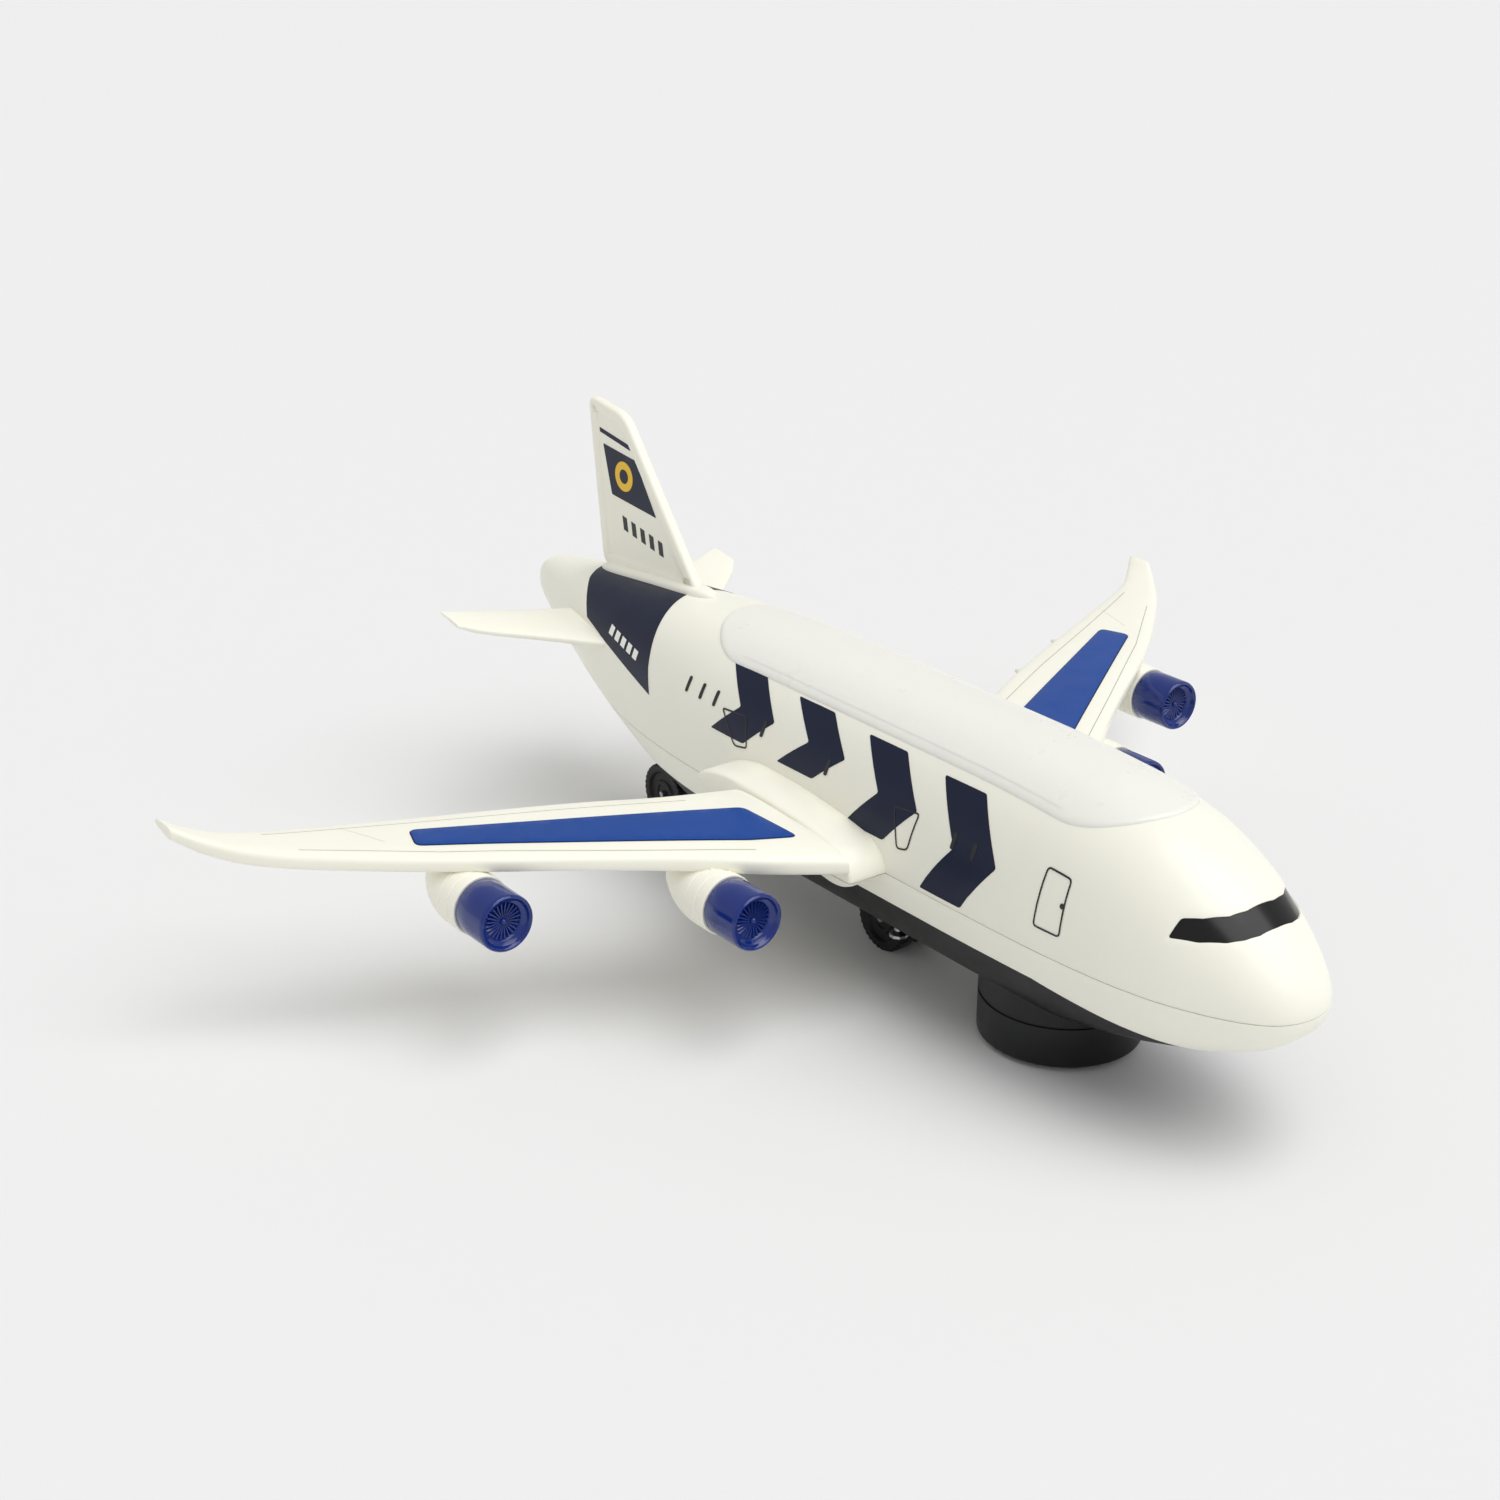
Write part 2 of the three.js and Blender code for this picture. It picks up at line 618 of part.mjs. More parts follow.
const GEAR_SLOT = { x0: -4.6, x1: -1.4, halfLength: 6 };
const CUTTER_REACH = 12;
let gearFrame = toSolid(turned(cupProfile, 28).rotateX(Math.PI / 2).translate(0, DRUM_Y, 0));
for (const side of [-1, 1]) {
  const [x0, x1] = side > 0 ? [PLATE.inner, PLATE.outer] : [-PLATE.outer, -PLATE.inner];
  const near = DRIVE_WHEEL.inner - WHEEL_SLOT.margin;
  const far = DRIVE_WHEEL.outer + WHEEL_SLOT.margin;
  const [w0, w1] = side > 0 ? [near, far] : [-far, -near];
  const cheek = box(x0, x1, DRUM_Y - PLATE.halfLength, DRUM_Y + PLATE.halfLength,
    DISC.top - 1, PLATE.top);
  const wheelSlot = box(w0, w1, DRUM_Y - WHEEL_SLOT.halfLength, DRUM_Y + WHEEL_SLOT.halfLength,
    0, WHEEL_SLOT.top);
  gearFrame = gearFrame.add(cheek).subtract(wheelSlot);
}
gearFrame = gearFrame
  .subtract(box(GEAR_SLOT.x0, GEAR_SLOT.x1, DRUM_Y - GEAR_SLOT.halfLength,
    DRUM_Y + GEAR_SLOT.halfLength, 0, WHEEL_SLOT.top))
  .subtract(cylinderX(SHAFT.bore, -CUTTER_REACH, CUTTER_REACH, DRUM_Y, DRIVE_WHEEL_R, 12))
  .subtract(cylinderX(SHAFT.bore, -CUTTER_REACH, CUTTER_REACH, DRUM_Y, IDLER_Z, 12));
addSolid('gearbox_turntable', gearFrame, BLACK);
const driveAxle = cylinderX(SHAFT.radius, -SHAFT.halfLength, SHAFT.halfLength, DRUM_Y,
  DRIVE_WHEEL_R, 12);
addSolid('drive_axle', driveAxle, STEEL);

const HUB_SHARE = 0.55;
const CHAMFER = 0.8;
const BORE_GAP = 0.2;
function wheelSolid(radius, x0, x1, y, z, bore, segments) {
  const hub = radius * HUB_SHARE;
  const width = x1 - x0;
  const profile = [
    [bore, CHAMFER],
    [hub, CHAMFER],
    [hub + CHAMFER, 0],
    [radius - CHAMFER, 0],
    [radius, CHAMFER],
    [radius, width - CHAMFER],
    [radius - CHAMFER, width],
    [hub + CHAMFER, width],
    [hub, width - CHAMFER],
    [bore, width - CHAMFER],
    [bore, CHAMFER],
  ];
  return toSolid(turned(profile, segments).rotateZ(-Math.PI / 2).translate(x0, y, z));
}
const driveWheel = wheelSolid(DRIVE_WHEEL_R, DRIVE_WHEEL.inner, DRIVE_WHEEL.outer, DRUM_Y,
  DRIVE_WHEEL_R, SHAFT.radius + BORE_GAP, 16);
addPair('drive_wheel', driveWheel, RUBBER);

const gearBore = cylinderX(SHAFT.radius + BORE_GAP, -CUTTER_REACH, CUTTER_REACH, DRUM_Y,
  DRIVE_WHEEL_R, 12);
addSolid('drive_axle_gear', spurGear(AXLE_TEETH, -4, -2, DRUM_Y, DRIVE_WHEEL_R, 90)
  .subtract(gearBore), NYLON);
const smallPhase = 270 + 180 / IDLER_SMALL_TEETH;
const bigPhase = 90;
const idler = spurGear(IDLER_SMALL_TEETH, -4.4, 0.4, DRUM_Y, IDLER_Z, smallPhase)
  .add(spurGear(IDLER_BIG_TEETH, 0.4, 2.4, DRUM_Y, IDLER_Z, bigPhase))
  .add(cylinderX(SHAFT.radius, -8.4, 8.4, DRUM_Y, IDLER_Z, 12));
addSolid('idler_gear', idler, NYLON);
const pinionPhase = 270 + 180 / PINION_TEETH;
addSolid('motor_pinion', spurGear(PINION_TEETH, 0.3, 3.2, DRUM_Y, PINION_Z, pinionPhase), STEEL);
const MOTOR = { front: -0.4, rear: -19.4, radius: 7.4, halfHeight: 5.8 };
const motorCan = cylinderX(MOTOR.radius, MOTOR.rear, MOTOR.front, DRUM_Y, PINION_Z, 20)
  .intersect(box(-ACROSS, ACROSS, 0, LENGTH, PINION_Z - MOTOR.halfHeight,
    PINION_Z + MOTOR.halfHeight));
addSolid('motor', motorCan, STEEL);
const CLAMP = { x0: -17, x1: -5, outerHalf: 9.2, innerHalf: 7.8, innerTop: 6.2, outerTop: 8 };
const clampOuter = box(CLAMP.x0, CLAMP.x1, DRUM_Y - CLAMP.outerHalf, DRUM_Y + CLAMP.outerHalf,
  PLATE.top + GAP, PINION_Z + CLAMP.outerTop);
const clampInner = box(CLAMP.x0 - 1, CLAMP.x1 + 1, DRUM_Y - CLAMP.innerHalf,
  DRUM_Y + CLAMP.innerHalf, 0, PINION_Z + CLAMP.innerTop);
addSolid('motor_clamp', clampOuter.subtract(clampInner), BLACK);

// ---- trailing rollers ----
function roller(name, place) {
  addSolid(`${name}_axle`, cylinderX(SHAFT.radius, -place.outer - 0.4, place.outer + 0.4,
    place.y, ROLLER_R, 12), STEEL);
  addPair(`${name}_wheel`, wheelSolid(ROLLER_R, place.inner, place.outer, place.y, ROLLER_R,
    SHAFT.radius + BORE_GAP, 16), BLACK);
}
roller('mid_roller', MID_ROLLER);
roller('rear_roller', REAR_ROLLER);

// ---- wings with their colour panels ----
const COLUMN = { bottom: 40, top: 70 };
const panelColumn = slab(outline(WING_PANEL), COLUMN.bottom, COLUMN.top);
const tongue = box(TONGUE.x0, TONGUE.x1, TONGUE.front, TONGUE.rear, TONGUE.bottom, TONGUE.top);
const panelRecess = panelColumn.subtract(surfaceLoft(WING_STATIONS, 0, WING_PANEL_DEPTH));
const wing = surfaceLoft(WING_STATIONS).subtract(panelRecess).add(tongue);
addPair('wing', wing, CREAM);
const PANEL_SHRINK = 0.985;
const panelCentre = WING_PANEL.reduce((sum, point) => [sum[0] + point[0] / WING_PANEL.length,
  sum[1] + point[1] / WING_PANEL.length], [0, 0]);
const insetPanel = WING_PANEL.map(([x, y]) => [
  panelCentre[0] + (x - panelCentre[0]) * PANEL_SHRINK,
  panelCentre[1] + (y - panelCentre[1]) * PANEL_SHRINK,
]);
const wingPanel = surfaceLoft(WING_STATIONS)
  .subtract(surfaceLoft(WING_STATIONS, 0, WING_PANEL_DEPTH - GAP))
  .intersect(slab(outline(insetPanel), COLUMN.bottom, COLUMN.top));
addPair('wing_panel', wingPanel, BLUE);

// ---- engines ----
const CAP_PROFILE = [[0, 2.2], [2.2, 2.6], [2.6, 3.4], [6.6, 3.4], [7.2, 0.5], [7.9, 0], [CAP_R, 0.9],
  [CAP_R, CAP_LENGTH], [5.5, CAP_LENGTH], [5.5, CAP_LENGTH + 4], [0, CAP_LENGTH + 4]];
const NACELLE_R = 9.2;
const NACELLE_BORE = { radius: 5.8, depth: 4.6 };
const NACELLE_PROFILE = [
  [0, NACELLE_BORE.depth],
  [NACELLE_BORE.radius, NACELLE_BORE.depth],
  [NACELLE_BORE.radius, 0],
  [NACELLE_R, 0],
  [NACELLE_R, 9],
  [8.2, 14.4],
  [5.4, 21.6],
  [2.4, 26.8],
  [0, 28.4],
];
const PYLON = { halfWidth: 1.6, front: 6, rear: 24, top: 52 };
const wingClearance = surfaceLoft(WING_STATIONS, GAP);
for (const engine of ENGINES) {
  const cap = toSolid(turned(CAP_PROFILE, 16).translate(engine.x, engine.y, engine.z));
  addPair(`engine_${engine.name}_cap`, cap, CAP_BLUE);
  const backY = engine.y + CAP_LENGTH + GAP;
  const body = toSolid(turned(NACELLE_PROFILE, 16).translate(engine.x, backY, engine.z));
  const pylon = box(engine.x - PYLON.halfWidth, engine.x + PYLON.halfWidth,
    backY + PYLON.front, backY + PYLON.rear, engine.z, PYLON.top);
  const hollow = cylinderY(NACELLE_BORE.radius, engine.x, backY - 1, backY + NACELLE_BORE.depth,
    engine.z, 16);
  const nacelle = body.add(pylon).subtract(hollow).subtract(wingClearance);
  addPair(`engine_${engine.name}_nacelle`, nacelle, CREAM);
}

// ---- tail ----
const FIN_PANEL = [[275, 94.4], [315, 91.4], [324.6, 138], [308.8, 135.8]];
const FIN_PANEL_X = FIN_THICKNESS / 2 - 0.6;
const finPlate = sideSlab(outline(FIN_OUTLINE), -FIN_THICKNESS / 2, FIN_THICKNESS / 2);
const finRecess = sideSlab(outline(FIN_PANEL), FIN_PANEL_X, FIN_THICKNESS);
const finRecessFar = sideSlab(outline(FIN_PANEL), -FIN_THICKNESS, -FIN_PANEL_X);
addSolid('tail_fin', finPlate.subtract(finRecess).subtract(finRecessFar), CREAM);
const fuselageClearance = fuselageLoft(STATIONS, -GAP);
addPair('stabiliser', surfaceLoft(STABILISER_STATIONS).subtract(fuselageClearance), CREAM);

// ---- electronics ----
const BOARD_TOP = BOARD.z + 1.4;
const LAMP_INSET = 7;
const LAMP_PROFILE = [[0, 0], [2.4, 0], [2.4, 4], [1.6, 6], [0, 6.6]];
addSolid('circuit_board', box(-BOARD.halfWidth, BOARD.halfWidth, BOARD.front - 1, BOARD.rear + 1,
  BOARD.z, BOARD_TOP), BOARD_GREEN);
[['front', BOARD.front + LAMP_INSET], ['rear', BOARD.rear - LAMP_INSET]].forEach(([end, y]) => {
  const lamp = turned(LAMP_PROFILE, 10).rotateX(Math.PI / 2);
  addSolid(`roof_lamp_${end}`, toSolid(lamp.translate(0, y, BOARD_TOP + GAP)), LAMP);
});
const MAGNET = { radius: 6, top: 10 };
const FRAME_HEIGHT = 5;
const speakerFrame = cylinderZ(SPEAKER.radius, 0, SPEAKER.y, SPEAKER.z, SPEAKER.z + FRAME_HEIGHT, 16);
const magnet = cylinderZ(MAGNET.radius, 0, SPEAKER.y, SPEAKER.z + FRAME_HEIGHT - 1,
  SPEAKER.z + MAGNET.top, 12);
addSolid('speaker', speakerFrame.add(magnet), GREY);

export default plane;
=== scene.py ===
import math

import bmesh
import bpy
import numpy as np
from mathutils import Matrix, Vector
from mathutils.geometry import delaunay_2d_cdt


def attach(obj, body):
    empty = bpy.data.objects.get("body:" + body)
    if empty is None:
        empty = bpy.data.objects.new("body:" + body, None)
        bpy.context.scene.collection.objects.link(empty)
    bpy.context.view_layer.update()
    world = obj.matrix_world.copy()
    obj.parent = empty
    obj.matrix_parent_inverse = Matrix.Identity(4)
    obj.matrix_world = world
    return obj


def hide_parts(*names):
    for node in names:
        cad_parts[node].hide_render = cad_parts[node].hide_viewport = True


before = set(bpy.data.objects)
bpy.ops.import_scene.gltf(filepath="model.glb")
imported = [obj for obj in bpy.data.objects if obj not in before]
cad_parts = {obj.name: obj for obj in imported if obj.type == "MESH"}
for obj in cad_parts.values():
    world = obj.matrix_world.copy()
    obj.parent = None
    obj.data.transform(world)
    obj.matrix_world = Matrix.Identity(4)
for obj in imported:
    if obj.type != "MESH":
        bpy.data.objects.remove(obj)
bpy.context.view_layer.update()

# ---- dimensions, in millimetres: x to port, y behind the nose, z above the ground ----
MM = 0.001
LENGTH = 360.0
SEAM_Z = 44.5
BELLY_Z = 35.4
SEAM_HALF_GAP = 0.14
SHELL = 1.4
CROWN_POWER = 2.4
KEEL_POWER = 2.6
NOSE_ROUNDING = 0.35
NOSE_LENGTH = 60.0
TAU = 2 * math.pi
SIDES = ((1, "left"), (-1, "right"))

# Fuselage stations: y, half width, waist, crown and keel heights.
STATIONS = np.array([
    [0, 0, 45, 45.2, 44.8],
    [3, 10.2, 44.8, 53, 38],
    [9, 16, 44.6, 59.6, 33],
    [20, 22, 44.5, 69, 28.4],
    [34, 26.9, 44.5, 78, 23.6],
    [52, 30, 44.5, 84.6, 19],
    [76, 31.7, 44.5, 87.8, 15.2],
    [110, 32.3, 44.5, 89, 15],
    [200, 32.3, 44.5, 89.2, 15],
    [225, 31.7, 45.5, 88.8, 17.4],
    [250, 29.6, 48, 87.6, 23.6],
    [275, 26, 52, 85.8, 31.2],
    [300, 21.4, 57, 83.6, 39.6],
    [325, 15.6, 62.6, 81, 49.6],
    [345, 10.2, 67, 78.6, 58.2],
    [356, 6, 69.4, 75.6, 64],
    [LENGTH, 0, 70.4, 70.6, 70.2],
])

# Wing stations: x, front edge y, rear edge y, upper height at each, thickness.
WING_STATIONS = np.array([
    [46, 131.6, 186, 54.6, 57.4, 9],
    [56, 138, 190, 55, 57.4, 9],
    [68, 145.6, 195, 55.6, 57.4, 8.8],
    [88, 160.4, 205.6, 56.4, 57.3, 8.2],
    [110, 175, 216, 56.9, 57.1, 7.6],
    [130, 187.6, 224.6, 57.2, 57, 7.1],
    [150, 202.2, 233.2, 57.2, 57, 6.7],
    [170, 218.6, 242, 57.2, 57.1, 6.4],
    [184, 231, 248.4, 57.9, 57.9, 6.1],
    [193, 241.4, 255.2, 59.6, 59.6, 5.6],
    [199, 249.4, 260, 62, 62, 4.6],
])
STABILISER_STATIONS = np.array([
    [13, 281, 321, 67, 69.6, 4],
    [40, 307, 330, 69.2, 71.4, 3.2],
    [54, 319.6, 336, 70.4, 72.4, 2.6],
    [58.4, 325, 337.4, 71, 72.8, 1.8],
])
SECTION_POWER = 3.2
REAR_TAPER = 0.45
WING_PANEL = [(53.6, 172.4), (63, 177.2), (140.5, 217), (144, 207), (64.4, 155), (51.6, 149)]

# Colours, as 8-bit sRGB.
CREAM = (251, 249, 234)
NAVY = (12, 22, 50)
WING_BLUE = (12, 68, 150)
CAP_BLUE = (5, 38, 118)
BLACK = (11, 12, 14)
YELLOW = (245, 195, 20)


# ---- curves and outlines ----
def smooth_table(knots, values, at):
    """Monotone cubic interpolation of the columns of values over knots."""
    step = np.diff(knots)[:, None]
    slope = np.diff(values, axis=0) / step
    tangent = np.zeros_like(values)
    tangent[0], tangent[-1] = slope[0], slope[-1]
    before, after = slope[:-1], slope[1:]
    same = before * after > 0
    weight = 2 * before * after / np.where(same, before + after, 1)
    tangent[1:-1] = np.where(same, weight, 0)
    index = np.clip(np.searchsorted(knots, at, side="right") - 1, 0, len(knots) - 2)
    width = step[index]
    t = ((at - knots[index])[:, None]) / width
    return (
        values[index] * (2 * t**3 - 3 * t**2 + 1)
        + tangent[index] * width * (t**3 - 2 * t**2 + t)
        + values[index + 1] * (3 * t**2 - 2 * t**3)
        + tangent[index + 1] * width * (t**3 - t**2)
    )


def turn_of(y):
    """Lengthwise parameter that is evenly spread over a rounded nose and tail."""
    return np.arccos(np.clip(1 - 2 * np.asarray(y, float) / LENGTH, -1, 1))


def y_of(turn):
    return (1 - np.cos(turn)) * LENGTH / 2


def bulge(value, power):
    return np.sign(value) * np.abs(value) ** (2 / power)


def crown_power(y):
    """Roundness of the upper section: the nose is closer to a plain ellipse."""
    return CROWN_POWER - NOSE_ROUNDING * np.clip(1 - np.asarray(y, float) / NOSE_LENGTH, 0, 1)


STATION_TURNS = turn_of(STATIONS[:, 0])


def section_at(turns):
    """Half width, waist, crown and keel of the fuselage, one row for each turn."""
    return smooth_table(STATION_TURNS, STATIONS[:, 1:], turns)


def raw_skin(turn, angle):
    half_width, waist, crown, keel = section_at(turn).T
    upper = np.sin(angle) >= 0
    power = np.where(upper, crown_power(y_of(turn)), KEEL_POWER)
    height = np.where(upper, crown - waist, waist - keel)
    x = bulge(np.cos(angle), power) * half_width
    z = waist + bulge(np.sin(angle), power) * height
    return np.stack([x, y_of(turn), z], axis=1)


def skin(turn, angle, lift=0.0):
    """Points of the fuselage skin, raised along the surface normal by lift."""
    turn, angle = np.asarray(turn, float), np.asarray(angle, float)
    base = raw_skin(turn, angle)
    if not np.any(lift):
        return base
    step = 2e-3
    inner = np.clip(turn, 3 * step, math.pi - 3 * step)
    along = raw_skin(inner + step, angle) - raw_skin(inner - step, angle)
    around = raw_skin(inner, angle + step) - raw_skin(inner, angle - step)
    normal = np.cross(along, around)
    normal /= np.maximum(np.linalg.norm(normal, axis=1), 1e-12)[:, None]
    return base + normal * np.reshape(lift, (-1, 1))


def angle_of(y, z):
    """Section angle of the port skin point at that y and z."""
    _, waist, crown, keel = section_at(turn_of([y]))[0]
    if z >= waist:
        share = min((z - waist) / (crown - waist), 1)
        return math.asin(share ** (float(crown_power(y)) / 2))
    share = min((waist - z) / (waist - keel), 1)
    return -math.asin(share ** (KEEL_POWER / 2))


def densify(loop, spacing):
    points = []
    for a, b in zip(loop, loop[1:] + loop[:1]):
        count = max(1, math.ceil(math.dist(a, b) / spacing))
        for k in range(count):
            t = k / count
            points.append((a[0] + (b[0] - a[0]) * t, a[1] + (b[1] - a[1]) * t))
    return points


def round_corners(loop, radius, steps=6):
    """The loop with each corner replaced by a short curve."""
    points = []
    for before, corner, after in zip(loop[-1:] + loop[:-1], loop, loop[1:] + loop[:1]):
        ends = []
        for other in (before, after):
            reach = min(radius / max(math.dist(corner, other), 1e-9), 0.45)
            ends.append([corner[i] + (other[i] - corner[i]) * reach for i in (0, 1)])
        for k in range(steps + 1):
            t = k / steps
            points.append(tuple(
                ends[0][i] * (1 - t) ** 2 + 2 * corner[i] * t * (1 - t) + ends[1][i] * t**2
                for i in (0, 1)
            ))
    return points


def signed_area(loop):
    return sum(a[0] * b[1] - b[0] * a[1] for a, b in zip(loop, loop[1:] + loop[:1])) / 2


def inset(loop, distance):
    """The loop moved inwards by distance."""
    turn = 1 if signed_area(loop) > 0 else -1
    moved = []
    for before, corner, after in zip(loop[-1:] + loop[:-1], loop, loop[1:] + loop[:1]):
        u = np.subtract(corner, before) / max(math.dist(corner, before), 1e-9)
        v = np.subtract(after, corner) / max(math.dist(after, corner), 1e-9)
        normal = np.array([-(u[1] + v[1]), u[0] + v[0]]) * turn
        size = max(np.linalg.norm(normal), 1e-6)
        shrink = min(2 / size, 1.6)
        moved.append(tuple(np.add(corner, normal / size * distance * shrink)))
    return moved


def inside(points, loop):
    x, y = np.asarray(points, float).T
    result = np.zeros(len(x), bool)
    for (x0, y0), (x1, y1) in zip(loop, loop[1:] + loop[:1]):
        rise = y1 - y0
        crosses = (y0 > y) != (y1 > y)
        edge_x = x0 + (y - y0) * (x1 - x0) / (rise if abs(rise) > 1e-12 else 1e-12)
        result ^= crosses & (x < edge_x)
    return result


def edge_distance(points, loop):
    points = np.asarray(points, float)
    best = np.full(len(points), 1e9)
    for a, b in zip(loop, loop[1:] + loop[:1]):
        a, b = np.array(a), np.array(b)
        run = b - a
        t = np.clip(((points - a) @ run) / max(run @ run, 1e-12), 0, 1)
        best = np.minimum(best, np.linalg.norm(points - a - t[:, None] * run, axis=1))
    return best


def fill(loop, spacing, holes=()):
    """Triangles over a flat outline: its points, and the triangles inside it."""
    loops = [densify(list(one), spacing) for one in (loop, *holes)]
    edge_points = [point for one in loops for point in one]
    edges, start = [], 0
    for one in loops:
        edges += [(start + k, start + (k + 1) % len(one)) for k in range(len(one))]
        start += len(one)
    low, high = np.min(loops[0], axis=0), np.max(loops[0], axis=0)
    xs = np.arange(low[0] + spacing / 2, high[0], spacing)
    ys = np.arange(low[1] + spacing / 2, high[1], spacing)
    grid = np.array([(x, y) for x in xs for y in ys]).reshape(-1, 2)
    if len(grid):
        keep = inside(grid, loops[0]) & (edge_distance(grid, loops[0]) > spacing * 0.45)
        for hole in loops[1:]:
            keep &= ~inside(grid, hole) & (edge_distance(grid, hole) > spacing * 0.45)
        grid = grid[keep]
    points = edge_points + [tuple(p) for p in grid]
    found = delaunay_2d_cdt([Vector(p) for p in points], edges, [], 0, 1e-6)
    flat = np.array([tuple(v) for v in found[0]])
    triangles = np.array([list(f) for f in found[2]])
    middles = flat[triangles].mean(axis=1)
    keep = inside(middles, loops[0])
    for hole in loops[1:]:
        keep &= ~inside(middles, hole)
    return flat, triangles[keep].tolist()


# ---- meshes ----
def open_mesh(piece):
    work = bmesh.new()
    work.from_mesh(piece.data)
    return work


def close_mesh(work, piece):
    work.to_mesh(piece.data)
    work.free()


def add_mesh(name, points, faces, material, body="airframe", sharp=40):
    """A mesh piece from points in millimetres, riding on a body of the frame."""
    mesh = bpy.data.meshes.new(name)
    rows = [(x * MM, (y - LENGTH / 2) * MM, z * MM) for x, y, z in np.asarray(points, float)]
    mesh.from_pydata(rows, [], [list(f) for f in faces])
    mesh.shade_smooth()
    mesh.set_sharp_from_angle(angle=math.radians(sharp))
    mesh.materials.append(material)
    piece = bpy.data.objects.new(name, mesh)
    bpy.context.scene.collection.objects.link(piece)
    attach(piece, body)
    return piece


def tidy(piece):
    """Merges points that meet and makes the faces of a closed piece face outwards."""
    work = open_mesh(piece)
    bmesh.ops.remove_doubles(work, verts=work.verts, dist=1e-6)
    bmesh.ops.recalc_face_normals(work, faces=work.faces)
    close_mesh(work, piece)


def apply_modifiers(piece, sharp=40):
    depsgraph = bpy.context.evaluated_depsgraph_get()
    mesh = bpy.data.meshes.new_from_object(piece.evaluated_get(depsgraph))
    piece.modifiers.clear()
    piece.data = mesh
    mesh.shade_smooth()
    mesh.set_sharp_from_angle(angle=math.radians(sharp))
    return piece


def bevel(piece, width, segments=3, angle=40):
    modifier = piece.modifiers.new("rounded_edges", "BEVEL")
    modifier.width = width * MM
    modifier.segments = segments
    modifier.limit_method = "ANGLE"
    modifier.angle_limit = math.radians(angle)
    return piece


def thicken(piece, thickness, offset=-1):
    modifier = piece.modifiers.new("wall", "SOLIDIFY")
    modifier.thickness = thickness * MM
    modifier.offset = offset
    return piece


def cut_flat(piece, height, keep_above, fill_rim=False):
    """Cuts a piece with the level plane at that height, and may close the cut."""
    work = open_mesh(piece)
    found = bmesh.ops.bisect_plane(
        work, geom=work.verts[:] + work.edges[:] + work.faces[:], dist=1e-8,
        plane_co=(0, 0, height * MM), plane_no=(0, 0, 1),
        clear_inner=keep_above, clear_outer=not keep_above,
    )
    if fill_rim:
        rim = [e for e in found["geom_cut"] if isinstance(e, bmesh.types.BMEdge)]
        bmesh.ops.holes_fill(work, edges=rim, sides=0)
    close_mesh(work, piece)


def ring_faces(ring_count, ring_size):
    faces = []
    for i in range(ring_count - 1):
        for j in range(ring_size):
            k = (j + 1) % ring_size
            a, b = i * ring_size, (i + 1) * ring_size
            faces.append((a + j, a + k, b + k, b + j))
    return faces


def add_loft(name, rings, material, body="airframe", caps=(True, True), sharp=40):
    """A skin over rings of equal size, closed at each end that caps names."""
    size, count = len(rings[0]), len(rings)
    faces = ring_faces(count, size)
    if caps[0]:
        faces.append(tuple(range(size)))
    if caps[1]:
        faces.append(tuple(reversed(range((count - 1) * size, count * size))))
    piece = add_mesh(name, np.concatenate(rings), faces, material, body, sharp)
    tidy(piece)
    piece.data.set_sharp_from_angle(angle=math.radians(sharp))
    return piece


AXES = {
    "x": lambda r, h, a: (h, r * math.cos(a), r * math.sin(a)),
    "y": lambda r, h, a: (r * math.cos(a), h, r * math.sin(a)),
    "z": lambda r, h, a: (r * math.cos(a), r * math.sin(a), h),
}


def add_turned(name, profile, axis, centre, material, body="airframe", segments=96, closed=False):
    """A turned piece. Its profile holds (radius, height) points, starting and ending on the
    axis, or closing on itself when closed is true."""
    rings = []
    for radius, height in profile + (profile[:1] if closed else []):
        turn = [AXES[axis](max(radius, 1e-4), height, TAU * k / segments) for k in range(segments)]
        rings.append(np.array(turn) + centre)
    return add_loft(name, rings, material, body, caps=(not closed, not closed))


def add_plate(name, outline, x0, x1, material, body="airframe", edge=0.4):
    """An outline in y and z run along x, with rounded edges."""
    count = len(outline)
    points = [(x, y, z) for x in (x0, x1) for y, z in outline]
    faces = [tuple(range(count)), tuple(reversed(range(count, 2 * count)))]
    faces += [(k, (k + 1) % count, count + (k + 1) % count, count + k) for k in range(count)]
    piece = add_mesh(name, points, faces, material, body)
    tidy(piece)
    bevel(piece, edge)
    return apply_modifiers(piece)


def add_block(name, lo, hi, material, body="airframe", edge=0.3):
    outline = [(lo[1], lo[2]), (hi[1], lo[2]), (hi[1], hi[2]), (lo[1], hi[2])]
    return add_plate(name, outline, lo[0], hi[0], material, body, edge)


# ---- materials ----
def linear(colour):
    share = [c / 255 for c in colour]
    return [s / 12.92 if s <= 0.04045 else ((s + 0.055) / 1.055) ** 2.4 for s in share]


def noise(material, coordinates, scale, detail):
    node = material.node_tree.nodes.new("ShaderNodeTexNoise")
    node.inputs["Scale"].default_value = scale
    node.inputs["Detail"].default_value = detail
    material.node_tree.links.new(coordinates, node.inputs["Vector"])
    return node.outputs["Fac"]


def ranged(material, source, low, high):
    node = material.node_tree.nodes.new("ShaderNodeMapRange")
    limits = {"From Min": 0.3, "From Max": 0.7, "To Min": low, "To Max": high}
    for name, value in limits.items():
        node.inputs[name].default_value = value
    material.node_tree.links.new(source, node.inputs["Value"])
    return node.outputs["Result"]


